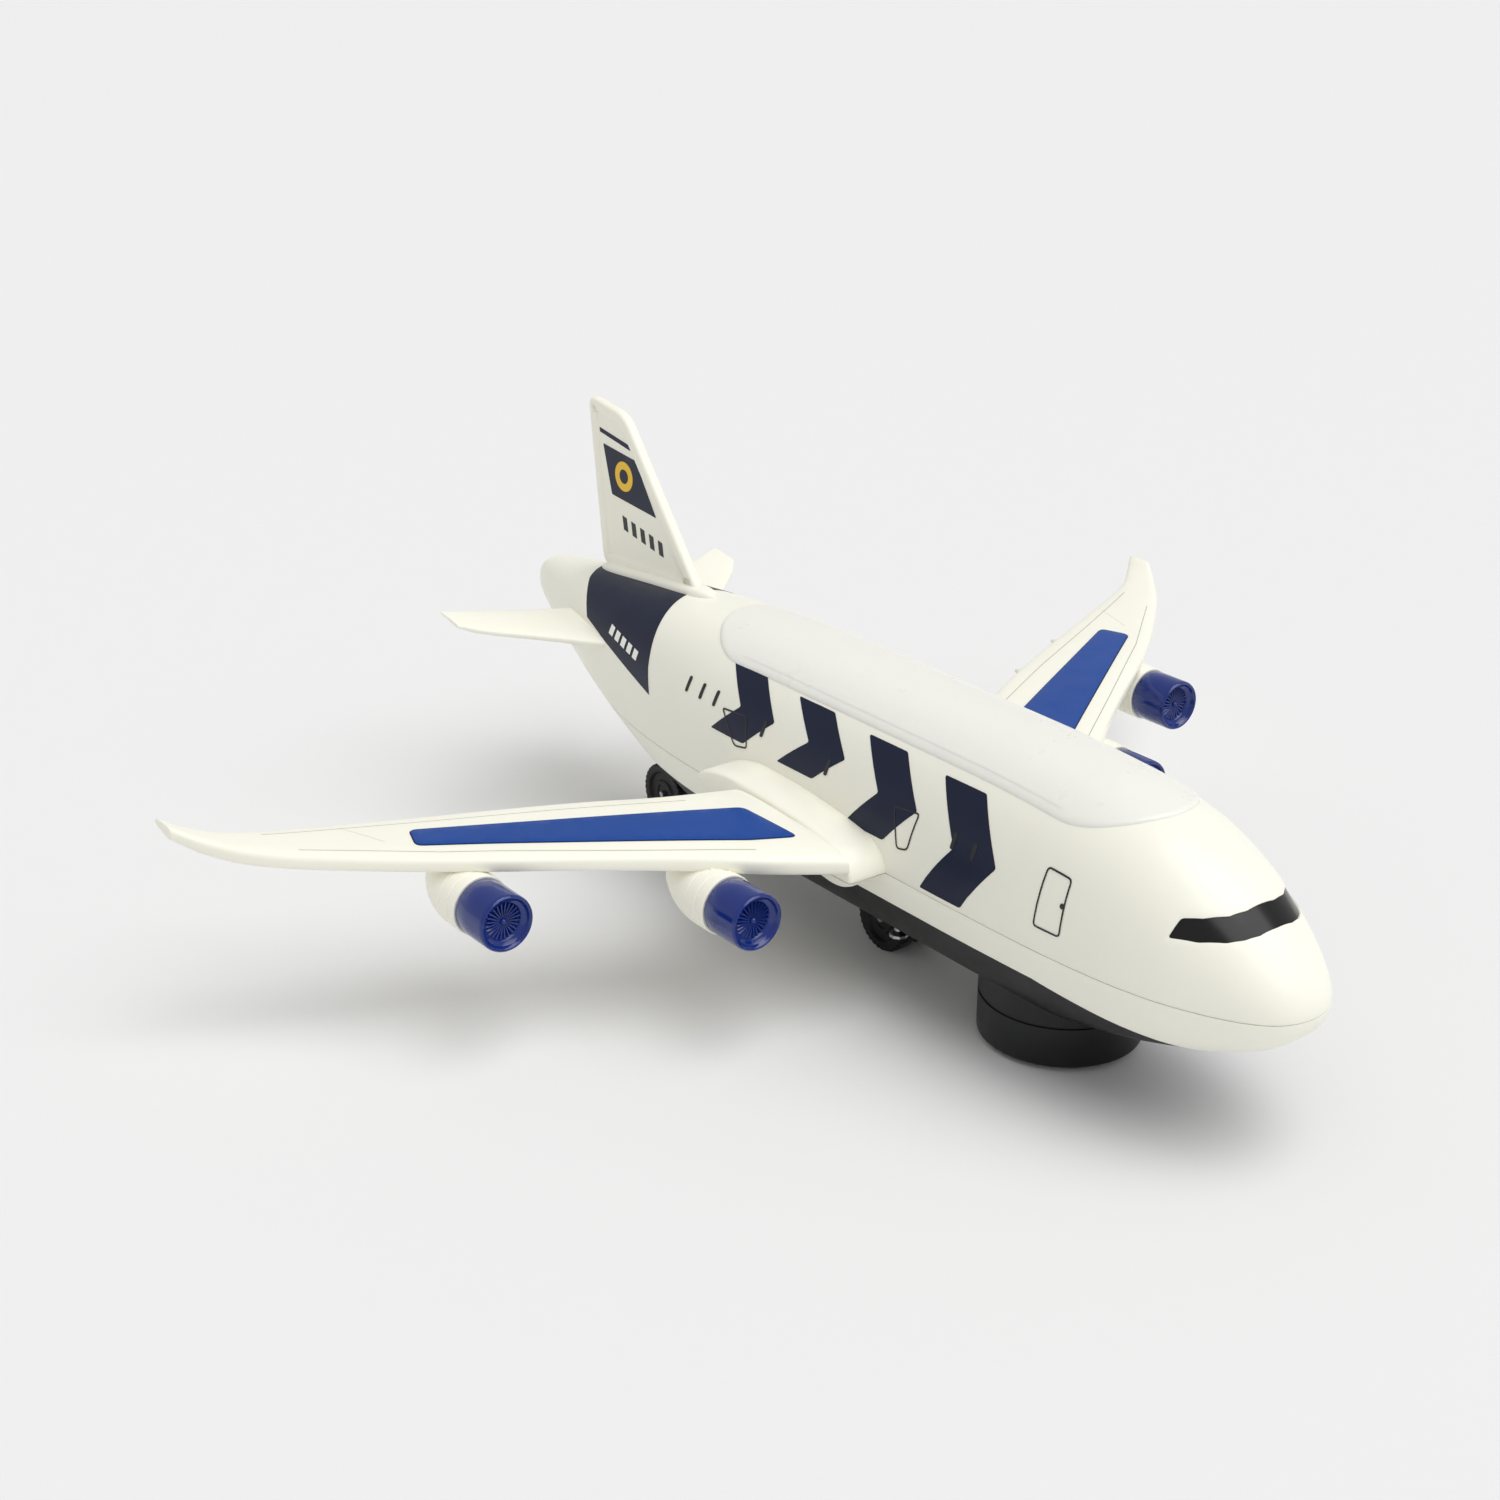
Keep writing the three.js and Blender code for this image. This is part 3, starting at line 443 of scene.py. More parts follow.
def moulded(name, colour, roughness, tint=0.03, grain=0.004, metal=0.0, coat=0.0, depth=0.0,
             shine=0.5):
    """Moulded plastic or metal with faint uneven colour, gloss and surface grain."""
    material = bpy.data.materials.new(name)
    material.use_nodes = True
    nodes, links = material.node_tree.nodes, material.node_tree.links
    shader = nodes["Principled BSDF"]
    coordinates = nodes.new("ShaderNodeTexCoord").outputs["Object"]
    mix = nodes.new("ShaderNodeMix")
    mix.data_type = "RGBA"
    base = linear(colour)
    mix.inputs["A"].default_value = [c * (1 - tint) for c in base] + [1]
    mix.inputs["B"].default_value = [min(c * (1 + tint), 1) for c in base] + [1]
    patches = ranged(material, noise(material, coordinates, 28, 3), 0, 1)
    links.new(patches, mix.inputs["Factor"])
    links.new(mix.outputs["Result"], shader.inputs["Base Color"])
    wear = ranged(material, noise(material, coordinates, 90, 5), roughness * 0.88, roughness * 1.12)
    links.new(wear, shader.inputs["Roughness"])
    shader.inputs["Metallic"].default_value = metal
    shader.inputs["Specular IOR Level"].default_value = shine
    shader.inputs["Coat Weight"].default_value = coat
    shader.inputs["Coat Roughness"].default_value = 0.08
    shader.inputs["Subsurface Weight"].default_value = depth
    shader.inputs["Subsurface Radius"].default_value = (0.0022, 0.002, 0.0015)
    shader.inputs["Subsurface Scale"].default_value = 1
    bump = nodes.new("ShaderNodeBump")
    bump.inputs["Strength"].default_value = 0.25
    bump.inputs["Distance"].default_value = grain * MM
    links.new(noise(material, coordinates, 1400, 4), bump.inputs["Height"])
    links.new(bump.outputs["Normal"], shader.inputs["Normal"])
    return material


MATERIALS = {
    "cream": moulded("cream_shell", CREAM, 0.34, tint=0.012, grain=0.006, depth=0.15),
    "gloss_black": moulded("window_black", (8, 8, 10), 0.2, grain=0.001, shine=0.4),
    "translucent": moulded("roof_cover_milky", (250, 248, 236), 0.3, tint=0.01, depth=0.35),
    "black": moulded("chassis_black", BLACK, 0.42, tint=0.1, grain=0.01, shine=0.4),
    "steel": moulded("bright_steel", (180, 182, 184), 0.28, metal=1.0, grain=0.002),
    "cell": moulded("cell_sleeve", (47, 122, 74), 0.35),
    "grey": moulded("grey_plastic", (138, 140, 142), 0.5, grain=0.01),
    "rubber": moulded("drive_rubber", (30, 30, 31), 0.75, grain=0.02),
    "nylon": moulded("gear_nylon", (232, 230, 218), 0.45),
    "wing_blue": moulded("wing_panel_blue", WING_BLUE, 0.4, tint=0.05, grain=0.008, shine=0.25),
    "cap_blue": moulded("engine_cap_blue", CAP_BLUE, 0.16, tint=0.05, grain=0.002, coat=0.35,
                        shine=0.4),
    "board": moulded("board_green", (30, 107, 60), 0.5),
    "lamp": moulded("lamp_clear", (242, 246, 255), 0.1),
}
PRINT_NAVY = moulded("print_navy", NAVY, 0.38, tint=0.05, grain=0.003, shine=0.3)
PRINT_BLACK = moulded("print_black", (22, 23, 28), 0.4, tint=0.05, grain=0.003)
PRINT_YELLOW = moulded("print_yellow", YELLOW, 0.4, tint=0.03, grain=0.003)
PRINT_WHITE = moulded("print_white", (246, 246, 240), 0.4, tint=0.01, grain=0.003)
# Painted shade: darker cream for the shadow inside the wing's moulded panel-line grooves.
PAINTED_GROOVE_SHADE = moulded("painted_groove_shade", (176, 174, 162), 0.6, tint=0.03)
# Painted shade: dark blue for the shadow in the recess gap round the blue wing panel.
PAINTED_GAP_SHADE = moulded("painted_panel_gap_shade", (20, 30, 58), 0.7, tint=0.03)


# ---- fuselage ----
LONG_STEPS = 176
ROUND_STEPS = 144
PARAM_SCALE = (80.0, 30.0)
WINDOW_EDGE = [(31.4, 62.1), (24.3, 62.4), (18.9, 63.0), (16.4, 63.6), (15.0, 64.2)]
WINDOW_FRONT_Y = 14.7
WINDOW_TOP_Y = 20.7
WINDOW_TOP_EDGE = [(20.7, 69.0), (22.2, 68.3), (26.1, 67.7), (30.4, 67.2)]


def window_loop():
    """The cockpit window outline as (turn, angle) points scaled by PARAM_SCALE."""
    right = [(WINDOW_FRONT_Y, math.pi / 2)]
    right += [(y, angle_of(y, z)) for y, z in reversed(WINDOW_EDGE)]
    right += [(y, angle_of(y, z)) for y, z in reversed(WINDOW_TOP_EDGE)]
    right += [(WINDOW_TOP_Y, math.pi / 2)]
    left = [(y, math.pi - angle) for y, angle in reversed(right[1:-1])]
    loop = [
        (float(turn_of(y)) * PARAM_SCALE[0], angle * PARAM_SCALE[1]) for y, angle in right + left
    ]
    return round_corners(loop, 0.9, 4)


def skin_patch(loop, spacing, holes=(), lift=0.0):
    """Skin points and outward-facing triangles over an outline in scaled (turn, angle)."""
    flat, triangles = fill(loop, spacing, holes)
    points = skin(flat[:, 0] / PARAM_SCALE[0], flat[:, 1] / PARAM_SCALE[1], lift)
    corner = points[np.array(triangles)]
    normal = np.cross(corner[:, 1] - corner[:, 0], corner[:, 2] - corner[:, 0])
    middle = corner.mean(axis=1)
    outwards = np.stack([middle[:, 0], middle[:, 1] * 0, middle[:, 2] - 50], axis=1)
    if (normal * outwards).sum() < 0:
        triangles = [list(reversed(t)) for t in triangles]
    return points, triangles


def fuselage_skin(inset_by=0.0, window=False):
    """Points and outward faces of the closed fuselage skin, with the window left out."""
    turns = math.pi * np.arange(LONG_STEPS + 1) / LONG_STEPS
    angles = -math.pi / 2 + TAU * np.arange(ROUND_STEPS) / ROUND_STEPS
    first = int(turn_of(7) / math.pi * LONG_STEPS)
    last = int(math.ceil(turn_of(37) / math.pi * LONG_STEPS))
    low = int(round((math.radians(12) + math.pi / 2) / TAU * ROUND_STEPS))
    high = ROUND_STEPS - low
    grid_turn, grid_angle = np.meshgrid(turns, angles, indexing="ij")
    points = skin(grid_turn.ravel(), grid_angle.ravel(), -inset_by)
    faces = []
    for i in range(LONG_STEPS):
        for j in range(ROUND_STEPS):
            if window and first <= i < last and low <= j < high:
                continue
            k = (j + 1) % ROUND_STEPS
            a, b = i * ROUND_STEPS, (i + 1) * ROUND_STEPS
            faces.append((a + j, b + j, b + k, a + k))
    if window:
        corners = [(first, low), (last, low), (last, high), (first, high)]
        border = []
        for (i0, j0), (i1, j1) in zip(corners, corners[1:] + corners[:1]):
            count = max(abs(i1 - i0), abs(j1 - j0))
            for k in range(count):
                i, j = i0 + (i1 - i0) * k // count, j0 + (j1 - j0) * k // count
                border.append((turns[i] * PARAM_SCALE[0], angles[j] * PARAM_SCALE[1]))
        patch, triangles = skin_patch(border, 2.2, [window_loop()], -inset_by)
        start = len(points)
        points = np.concatenate([points, patch])
        faces += [tuple(start + v for v in t) for t in triangles]
    return points, faces


BELLY_FRONT = (25.0, 30.6)
BELLY_LEVEL_Y = 72.0


def belly_planes(offset):
    """Each plane of the line where hull meets chassis, as a point and an upward normal: level
    along the belly, and lower towards the nose."""
    front_y, front_z = BELLY_FRONT
    slope = (BELLY_Z - front_z) / (BELLY_LEVEL_Y - front_y)
    tilted = Vector((0, -slope, 1)).normalized()
    return [
        (Vector((0, 0, (BELLY_Z + offset) * MM)), Vector((0, 0, 1))),
        (Vector((0, (front_y - LENGTH / 2) * MM, (front_z + offset) * MM)), tilted),
    ]


def cut_belly(piece, keep_above, offset):
    """Parts a skin along the belly line and keeps one side of it."""
    work = open_mesh(piece)
    planes = belly_planes(offset)
    for point, normal in planes:
        everything = work.verts[:] + work.edges[:] + work.faces[:]
        bmesh.ops.bisect_plane(work, geom=everything, dist=1e-8, plane_co=point, plane_no=normal)
    doomed = []
    for face in work.faces:
        middle = face.calc_center_median()
        below = all((middle - point).dot(normal) < 0 for point, normal in planes)
        if below == keep_above:
            doomed.append(face)
    bmesh.ops.delete(work, geom=doomed, context="FACES")
    close_mesh(work, piece)


def fuselage_band(name, material, low=None, high=None, hull=None, inset_by=0.0, window=False):
    """Part of the fuselage skin, between two heights or on one side of the belly line, as a
    shell with softened rims."""
    points, faces = fuselage_skin(inset_by, window)
    piece = add_mesh(name, points, faces, material)
    tidy(piece)
    if low is not None:
        cut_flat(piece, low, keep_above=True)
    if high is not None:
        cut_flat(piece, high, keep_above=False)
    if hull is not None:
        cut_belly(piece, hull, SEAM_HALF_GAP if hull else -SEAM_HALF_GAP)
    thicken(piece, SHELL)
    bevel(piece, 0.3, 2, 55)
    return apply_modifiers(piece)


def build_shells():
    upper = fuselage_band(
        "upper_shell", MATERIALS["cream"], low=SEAM_Z + SEAM_HALF_GAP, window=True
    )
    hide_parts("fuselage_upper_shell")
    lower = fuselage_band(
        "lower_shell", MATERIALS["cream"], high=SEAM_Z - SEAM_HALF_GAP, hull=True
    )
    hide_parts("fuselage_lower_shell")


def build_window():
    points, triangles = skin_patch(inset(window_loop(), -0.6), 1.6, lift=-0.5)
    pane = add_mesh("cockpit_pane", points, triangles, MATERIALS["gloss_black"])
    thicken(pane, 0.8)
    apply_modifiers(pane)
    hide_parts("cockpit_window")


# ---- wing root collars ----
COLLAR_OUTLINE = [
    (131, 44), (133, 49.8), (139, 53.8), (153.7, 56.2), (172.9, 57.9), (192, 58.5),
    (202.6, 56.6), (208, 53), (203, 49), (170, 44.8), (138, 41),
]
COLLAR_RINGS = [(25.0, 0.0), (43.6, 0.0), (44.6, 0.22), (45.2, 0.6), (45.5, 1.1)]


def build_collars():
    outline = round_corners(COLLAR_OUTLINE, 5, 6)
    for side, word in SIDES:
        for part, keep_above, offset in (("upper", True, 1), ("lower", False, -1)):
            rings = [[(x * side, y, z) for y, z in inset(outline, d)] for x, d in COLLAR_RINGS]
            name = f"collar_{part}_{word}"
            piece = add_loft(name, [np.array(r) for r in rings], MATERIALS["cream"])
            cut_flat(piece, SEAM_Z + offset * SEAM_HALF_GAP, keep_above, fill_rim=True)
            tidy(piece)
            bevel(piece, 0.25, 2, 60)
            apply_modifiers(piece)


# ---- roof light cover ----
ROOF = {"half_width": 21.6, "front": 50.0, "rear": 242.0, "end": 25.0, "rise": 0.75}
ROOF_EDGE = [(0.0, -0.6), (0.12, 0.15), (0.35, 0.5), (0.7, 0.68), (1.2, 0.75), (2.0, 0.75)]


def crown_height(x, y):
    half_width, waist, crown, _ = section_at(turn_of(y)).T
    share = np.clip(np.abs(x) / half_width, 0, 1)
    power = crown_power(y)
    return waist + (crown - waist) * (1 - share**power) ** (1 / power)


def roof_outline():
    half_width, end = ROOF["half_width"], ROOF["end"]
    loop = []
    for start, middle in ((0, ROOF["rear"] - end), (math.pi, ROOF["front"] + end)):
        for k in range(49):
            a = start + math.pi * k / 48
            loop.append((half_width * math.cos(a), middle + end * math.sin(a)))
    return loop


def build_roof():
    loop = roof_outline()
    rings = []
    for distance, lift in ROOF_EDGE:
        flat = np.array(inset(densify(loop, 3), distance))
        rings.append(np.column_stack([flat, crown_height(flat[:, 0], flat[:, 1]) + lift]))
    size = len(rings[0])
    faces = ring_faces(len(rings), size)
    flat, triangles = fill([tuple(p[:2]) for p in rings[-1]], 2.4)
    top = np.column_stack([flat, crown_height(flat[:, 0], flat[:, 1]) + ROOF["rise"]])
    start = len(rings) * size
    points = np.concatenate(rings + [top])
    faces += [tuple(start + v for v in t) for t in triangles]
    cover = add_mesh("roof_cover", points, faces, MATERIALS["translucent"])
    tidy(cover)
    thicken(cover, 0.8, -1)
    apply_modifiers(cover)
    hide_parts("roof_light_cover")


# ---- printed marks on the skin ----
PRINT_LIFT = 0.06
LINE_LIFT = 0.13
PRINT_THICKNESS = 0.05


def to_param(points, side):
    """(y, z) points of the skin as scaled (turn, angle) points on the port or other side."""
    result = []
    for y, z in points:
        angle = angle_of(y, z)
        angle = angle if side > 0 else math.pi - angle
        result.append((float(turn_of(y)) * PARAM_SCALE[0], angle * PARAM_SCALE[1]))
    return result


def skin_print(name, loop, material, holes=(), spacing=2.5, lift=PRINT_LIFT):
    """A thin printed mark that follows the fuselage skin."""
    points, triangles = skin_patch(loop, spacing, holes, lift)
    piece = add_mesh(name, points, triangles, material)
    thicken(piece, PRINT_THICKNESS, 1)
    return apply_modifiers(piece)


DOORS = [
    [(70.7, 69.2), (61.8, 68.4), (62.2, 51.7), (72, 51.8)],
    [(131.4, 65.8), (120.5, 66.9), (123, 54.9), (127.7, 53.8)],
    [(215.5, 68.9), (202.8, 69.9), (199.5, 60.5), (206, 59.4)],
]
DOOR_LINE = 0.5
WINDOW_SLOTS = [(235, 70.3), (227.2, 70.3), (219.6, 70.3), (194, 68.5), (162.3, 66.8),
                (105.4, 64.2), (97.2, 63.8)]
SLOT_HALF = (0.75, 2.5)
SLOT_LEAN = 0.35
HANDLE = (62.9, 60.6, 0.8)
CHEVRONS = [88, 122, 156, 190]
CHEVRON_WIDTH = 17
CHEVRON_POINT = 12


def disc_outline(centre, radius, steps):
    turns = np.arange(0, TAU, TAU / steps)
    return [(centre[0] + radius * math.cos(a), centre[1] + radius * math.sin(a)) for a in turns]


def build_doors(side, word):
    for number, corners in enumerate(DOORS, 1):
        outer = round_corners(corners, 1.5, 5)
        inner = inset(outer, DOOR_LINE)
        skin_print(f"door_line_{number}_{word}", to_param(outer, side), PRINT_BLACK,
                   [to_param(inner, side)], 1.2, LINE_LIFT)
    handle = disc_outline(HANDLE[:2], HANDLE[2], 16)
    skin_print(f"door_handle_{word}", to_param(handle, side), PRINT_BLACK, (), 0.6, LINE_LIFT)


def build_slots(side, word):
    half, tall = SLOT_HALF
    for number, (y, z) in enumerate(WINDOW_SLOTS, 1):
        corners = [(y - half + SLOT_LEAN, z - tall), (y + half + SLOT_LEAN, z - tall),
                   (y + half - SLOT_LEAN, z + tall), (y - half - SLOT_LEAN, z + tall)]
        loop = round_corners(corners, 0.7, 4)
        skin_print(f"cabin_window_{number}_{word}", to_param(loop, side), PRINT_BLACK, (), 0.8,
                   LINE_LIFT)


def build_chevrons(side, word):
    for number, y in enumerate(CHEVRONS, 1):
        share = (y - CHEVRONS[0]) / (CHEVRONS[-1] - CHEVRONS[0])
        top = 78.6 + 3 * share
        bottom = 46 + 15.5 * min(share * 1.6, 1)
        middle = (top + bottom) / 2
        inner, outer = y + CHEVRON_POINT, y + CHEVRON_POINT + CHEVRON_WIDTH
        corners = [
            (y, middle), (inner, top), (outer, top), (y + CHEVRON_WIDTH, middle),
            (outer, bottom), (inner, bottom),
        ]
        loop = round_corners(corners, 0.8, 3)
        skin_print(f"chevron_{number}_{word}", to_param(loop, side), PRINT_NAVY)


BAND_SIDE = [(256.3, 60), (259.6, 68), (262.5, 77), (265.7, 84)]
BAND_LOW = [(273, 63.5), (290, 67), (307, 70.5), (313, 76.3), (318.7, 79.7)]
BAND_TOP_Y = (269, 323)
TICK_STEP = (4.6, 0.6)
TICK_START = (268, 67.6)


def top_param(y):
    return (float(turn_of(y)) * PARAM_SCALE[0], math.pi / 2 * PARAM_SCALE[1])


def build_tail_band():
    port = to_param(BAND_SIDE, 1) + [top_param(BAND_TOP_Y[0])]
    starboard = to_param(BAND_SIDE[::-1], -1) + to_param(BAND_LOW, -1)
    rear = [top_param(BAND_TOP_Y[1])] + to_param(BAND_LOW[::-1], 1)
    skin_print("tail_band", port + starboard + rear, PRINT_NAVY)
    for side, word in SIDES:
        for number in range(5):
            y = TICK_START[0] + number * TICK_STEP[0]
            z = TICK_START[1] + number * TICK_STEP[1]
            corners = [(y, z), (y + 2.9, z + 0.4), (y + 2.6, z + 3.4), (y - 0.3, z + 3)]
            skin_print(f"tail_tick_{number + 1}_{word}", to_param(corners, side), PRINT_WHITE,
                       (), 1.5, LINE_LIFT)


# ---- flying surfaces ----
def surface_rows(stations, xs):
    """Front and rear edge, their heights and the thickness, one row for each x."""
    return smooth_table(stations[:, 0], stations[:, 1:], np.asarray(xs, float))


def surface_ring(row, count=72, shrink=1.0):
    x, front, rear, front_top, rear_top, thickness = row
    angles = TAU * np.arange(count) / count
    along = -bulge(np.cos(angles), SECTION_POWER)
    up = bulge(np.sin(angles), SECTION_POWER)
    middle = (front + rear) / 2
    y = middle + along * ((rear - front) / 2 - thickness * (1 - shrink) / 2)
    share = (along + 1) / 2
    half = thickness * (1 - REAR_TAPER * share) / 2
    top = front_top + (rear_top - front_top) * share
    return np.stack([np.full(count, x), y, top - half + up * half * shrink], axis=1)


def surface_rings(stations, steps):
    xs = np.linspace(stations[0, 0], stations[-1, 0], steps)
    rows = surface_rows(stations, xs)
    rings = [surface_ring([x, *row]) for x, row in zip(xs, rows)]
    for k in (1, 2, 3, 4, 5):
        a = math.pi / 2 * k / 5
        tip = [xs[-1] + 0.5 * math.sin(a), *rows[-1]]
        rings.append(surface_ring(tip, shrink=math.cos(a) + 0.01))
    return rings


def surface_top(stations, x, y):
    """Upper surface height over (x, y) points."""
    rows = surface_rows(stations, x)
    front, rear, front_top, rear_top, thickness = rows.T
    along = np.clip((y - (front + rear) / 2) / ((rear - front) / 2), -1, 1)
    share = (along + 1) / 2
    half = thickness * (1 - REAR_TAPER * share) / 2
    top = front_top + (rear_top - front_top) * share
    rise = (1 - np.abs(along) ** SECTION_POWER) ** (1 / SECTION_POWER)
    return top - half + rise * half


def mirror(points, side):
    return np.asarray(points, float) * (side, 1, 1)


def wing_plate(name, loop, side, lift, thickness, material, spacing=3.0, holes=(), edge=0.0):
    """A thin plate that follows the upper face of the wing."""
    flat, triangles = fill(loop, spacing, holes)
    z = surface_top(WING_STATIONS, flat[:, 0], flat[:, 1]) + lift
    if side < 0:
        triangles = [list(reversed(t)) for t in triangles]
    plate = add_mesh(name, mirror(np.column_stack([flat, z]), side), triangles, material)
    thicken(plate, thickness, -1)
    if edge:
        bevel(plate, edge, 2, 60)
    return apply_modifiers(plate)


WING_LINES = [
    [(66, 149.6), (100, 172.2), (140, 199.2), (172, 224.6)],
    [(150, 214.4), (158, 237.2)],
    [(64, 186.4), (100, 204.6), (140, 223), (176, 240)],
]
LINE_WIDTH = 0.32


# Painted shade: thin darker cream strips on the wing stand in for the shadow inside its panel-line
# grooves.
def build_wing_groove_shade(side, word):
    for number, path in enumerate(WING_LINES, 1):
        loop = path + [(x, y + LINE_WIDTH) for x, y in reversed(path)]
        wing_plate(f"wing_groove_shadow_{number}_{word}", loop, side, 0.02, 0.04, PAINTED_GROOVE_SHADE, 4)


FAIRING_XS = (66, 96, 126)
FAIRING_PROFILE = [
    (0, 0), (1.2, 1.4), (2.0, 4), (2.4, 8), (2.2, 13), (1.4, 17), (0.5, 19.4), (0, 20),
]
FAIRING_FORWARD = 15.5


def build_flap_fairings(side, word):
    for number, x in enumerate(FAIRING_XS, 1):
        row = surface_rows(WING_STATIONS, [x])[0]
        rear, low = row[1], row[3] - row[4] * (1 - REAR_TAPER)
        piece = add_turned(f"flap_fairing_{number}_{word}", FAIRING_PROFILE, "y",
                           np.array([x * side, rear - FAIRING_FORWARD, low]),
                           MATERIALS["cream"], segments=32)


def build_wing(side, word):
    rings = [mirror(r, side) for r in surface_rings(WING_STATIONS, 90)]
    wing = add_loft(f"wing_skin_{word}", rings, MATERIALS["cream"], sharp=55)
    bevel(wing, 0.3, 2, 60)
    apply_modifiers(wing, 55)
    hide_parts(f"wing_{word}")
    panel_loop = round_corners(WING_PANEL, 2.2, 5)
    panel = wing_plate(f"wing_colour_panel_{word}", panel_loop, side, 0.3, 0.6,
                       MATERIALS["wing_blue"], 3.0, edge=0.15)
    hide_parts(f"wing_panel_{word}")
    # Painted shade: a thin dark ring round the blue panel stands in for the shadow in the recess gap it
    # sits in.
    wing_plate(f"wing_panel_gap_shade_{word}", inset(panel_loop, -0.35), side, 0.06, 0.08, PAINTED_GAP_SHADE, 1.5,
               [inset(panel_loop, 0.3)])
    build_wing_groove_shade(side, word)
    build_flap_fairings(side, word)


def build_stabiliser(side, word):
    rings = [mirror(r, side) for r in surface_rings(STABILISER_STATIONS, 40)]
    piece = add_loft(f"stabiliser_skin_{word}", rings, MATERIALS["cream"], sharp=55)
    bevel(piece, 0.3, 2, 60)
    apply_modifiers(piece, 55)
    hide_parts(f"stabiliser_{word}")


# ---- engines ----
ENGINES = [("inner", 78, 133, 41.9), ("outer", 135.3, 173, 43)]
CAP_PROFILE = [
    (0, 3.0), (5.4, 3.0), (5.5, 2.9), (5.7, 2.2), (6.0, 1.95), (6.9, 1.6), (7.2, 1.2), (7.45, 0.5),
    (7.75, 0.12), (8.1, 0.0), (8.4, 0.22), (8.6, 0.7), (8.66, 1.4), (8.68, 8), (8.7, 13.6),
    (8.5, 14.0), (5.5, 14.0), (5.5, 16), (0, 16),
]
HUB_PROFILE = [(0, 1.3), (0.4, 1.4), (0.8, 1.75), (1.1, 2.3), (1.2, 3.2), (0, 3.2)]
NACELLE_PROFILE = [
    (0, 0.6), (6.6, 0.6), (6.9, 0.1), (8.9, 0), (9.15, 0.2), (9.2, 0.5), (9.2, 3.4), (8.9, 3.55),
    (8.9, 3.95), (9.2, 4.1), (9.2, 7.8), (8.9, 7.95), (8.9, 8.35), (9.15, 8.5), (8.9, 11),
    (8.2, 14.4), (7.0, 18), (5.4, 21.6), (3.8, 24.6), (2.4, 26.8), (1.2, 28), (0, 28.4),
]
BLADES = 24
NACELLE_BACK = 14.3
PYLON_HALF = 1.6


def fan_blades(name, centre, material):
    points, faces = [], []
    for k in range(BLADES):
        for radius, twist in ((1.0, 0.2), (3.2, 0.35), (5.5, 0.5)):
            for height, lead in ((3.1, -1), (2.35, 1)):
                for half in (-0.2, 0.2):
                    a = TAU * k / BLADES + (twist * lead * 0.75 + half) / max(radius, 2.6)
                    points.append((centre[0] + radius * math.cos(a), centre[1] + height,
                                   centre[2] + radius * math.sin(a)))
        s = k * 12
        for m in (0, 4):
            a, b = s + m, s + m + 4
            faces += [(a, a + 1, b + 1, b), (a + 3, a + 2, b + 2, b + 3),
                      (a + 1, a + 3, b + 3, b + 1), (a + 2, a, b, b + 2)]
        faces += [(s, s + 2, s + 3, s + 1), (s + 8, s + 9, s + 11, s + 10)]
    piece = add_mesh(name, points, faces, material, sharp=30)
    tidy(piece)
    return piece


def build_engine(place, x, y, z, side, word):
    centre = np.array([x * side, y, z], float)
    cap = add_turned(f"engine_cap_{place}_{word}", CAP_PROFILE, "y", centre, MATERIALS["cap_blue"])
    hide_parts(f"engine_{place}_cap_{word}")
    hub = add_turned(f"fan_hub_{place}_{word}", HUB_PROFILE, "y", centre, MATERIALS["cap_blue"],
                     segments=48)
    blades = fan_blades(f"fan_blades_{place}_{word}", centre, MATERIALS["cap_blue"])
    back = centre + (0, NACELLE_BACK, 0)
    body = add_turned(f"nacelle_{place}_{word}", NACELLE_PROFILE, "y", back, MATERIALS["cream"])
    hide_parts(f"engine_{place}_nacelle_{word}")
    row = surface_rows(WING_STATIONS, [x])[0]
    wing_low = row[2] - row[4] * 0.8
    outline = [
        (back[1] + 5, z + 7.6), (back[1] + 20, z + 3), (back[1] + 30, wing_low + 0.4),
        (row[0] + 3, wing_low + 1.2), (back[1] + 6, z + 9.6),
    ]
    pylon = add_plate(f"pylon_{place}_{word}", outline, side * x - PYLON_HALF,
                      side * x + PYLON_HALF, MATERIALS["cream"], edge=0.5)


# ---- fin ----
FIN_OUTLINE = [(264.5, 86.2), (321, 82.6), (328.4, 142.1), (306.9, 139)]
FIN_HALF = 2.0
FIN_PANEL_DROP = 0.55
FIN_RIM_STEPS = (0.25, 0.6, 1.0, 1.5, 2.6, 3.8, 4.1, 4.4, 4.8)
FIN_SOCKET = {"half_width": 4.4, "front": 258.0, "rear": 323.0, "rise": 2.6, "sink": 1.4}
FIN_DISC = (307.6, 117.2)
FIN_STRIPE = [(302.6, 128.6), (301.8, 126.8), (321.6, 130), (321.8, 131.6)]
FIN_FIELD = [(300.7, 124.3), (288.9, 107.1), (315, 109.3), (319.8, 126.3)]


def fin_half_thickness(points, loop):
    """Half thickness over the fin: a rounded rim round a slightly lower panel."""
    distance = edge_distance(points, loop)
    corner = np.clip(distance / 1.3, 0, 1)
    rim = FIN_HALF * np.sqrt(np.clip(1 - (1 - corner) ** 2, 0, 1)) * 0.85 + FIN_HALF * 0.15
    step = np.clip((distance - 3.9) / 0.7, 0, 1)
    return rim - FIN_PANEL_DROP * step * step * (3 - 2 * step)


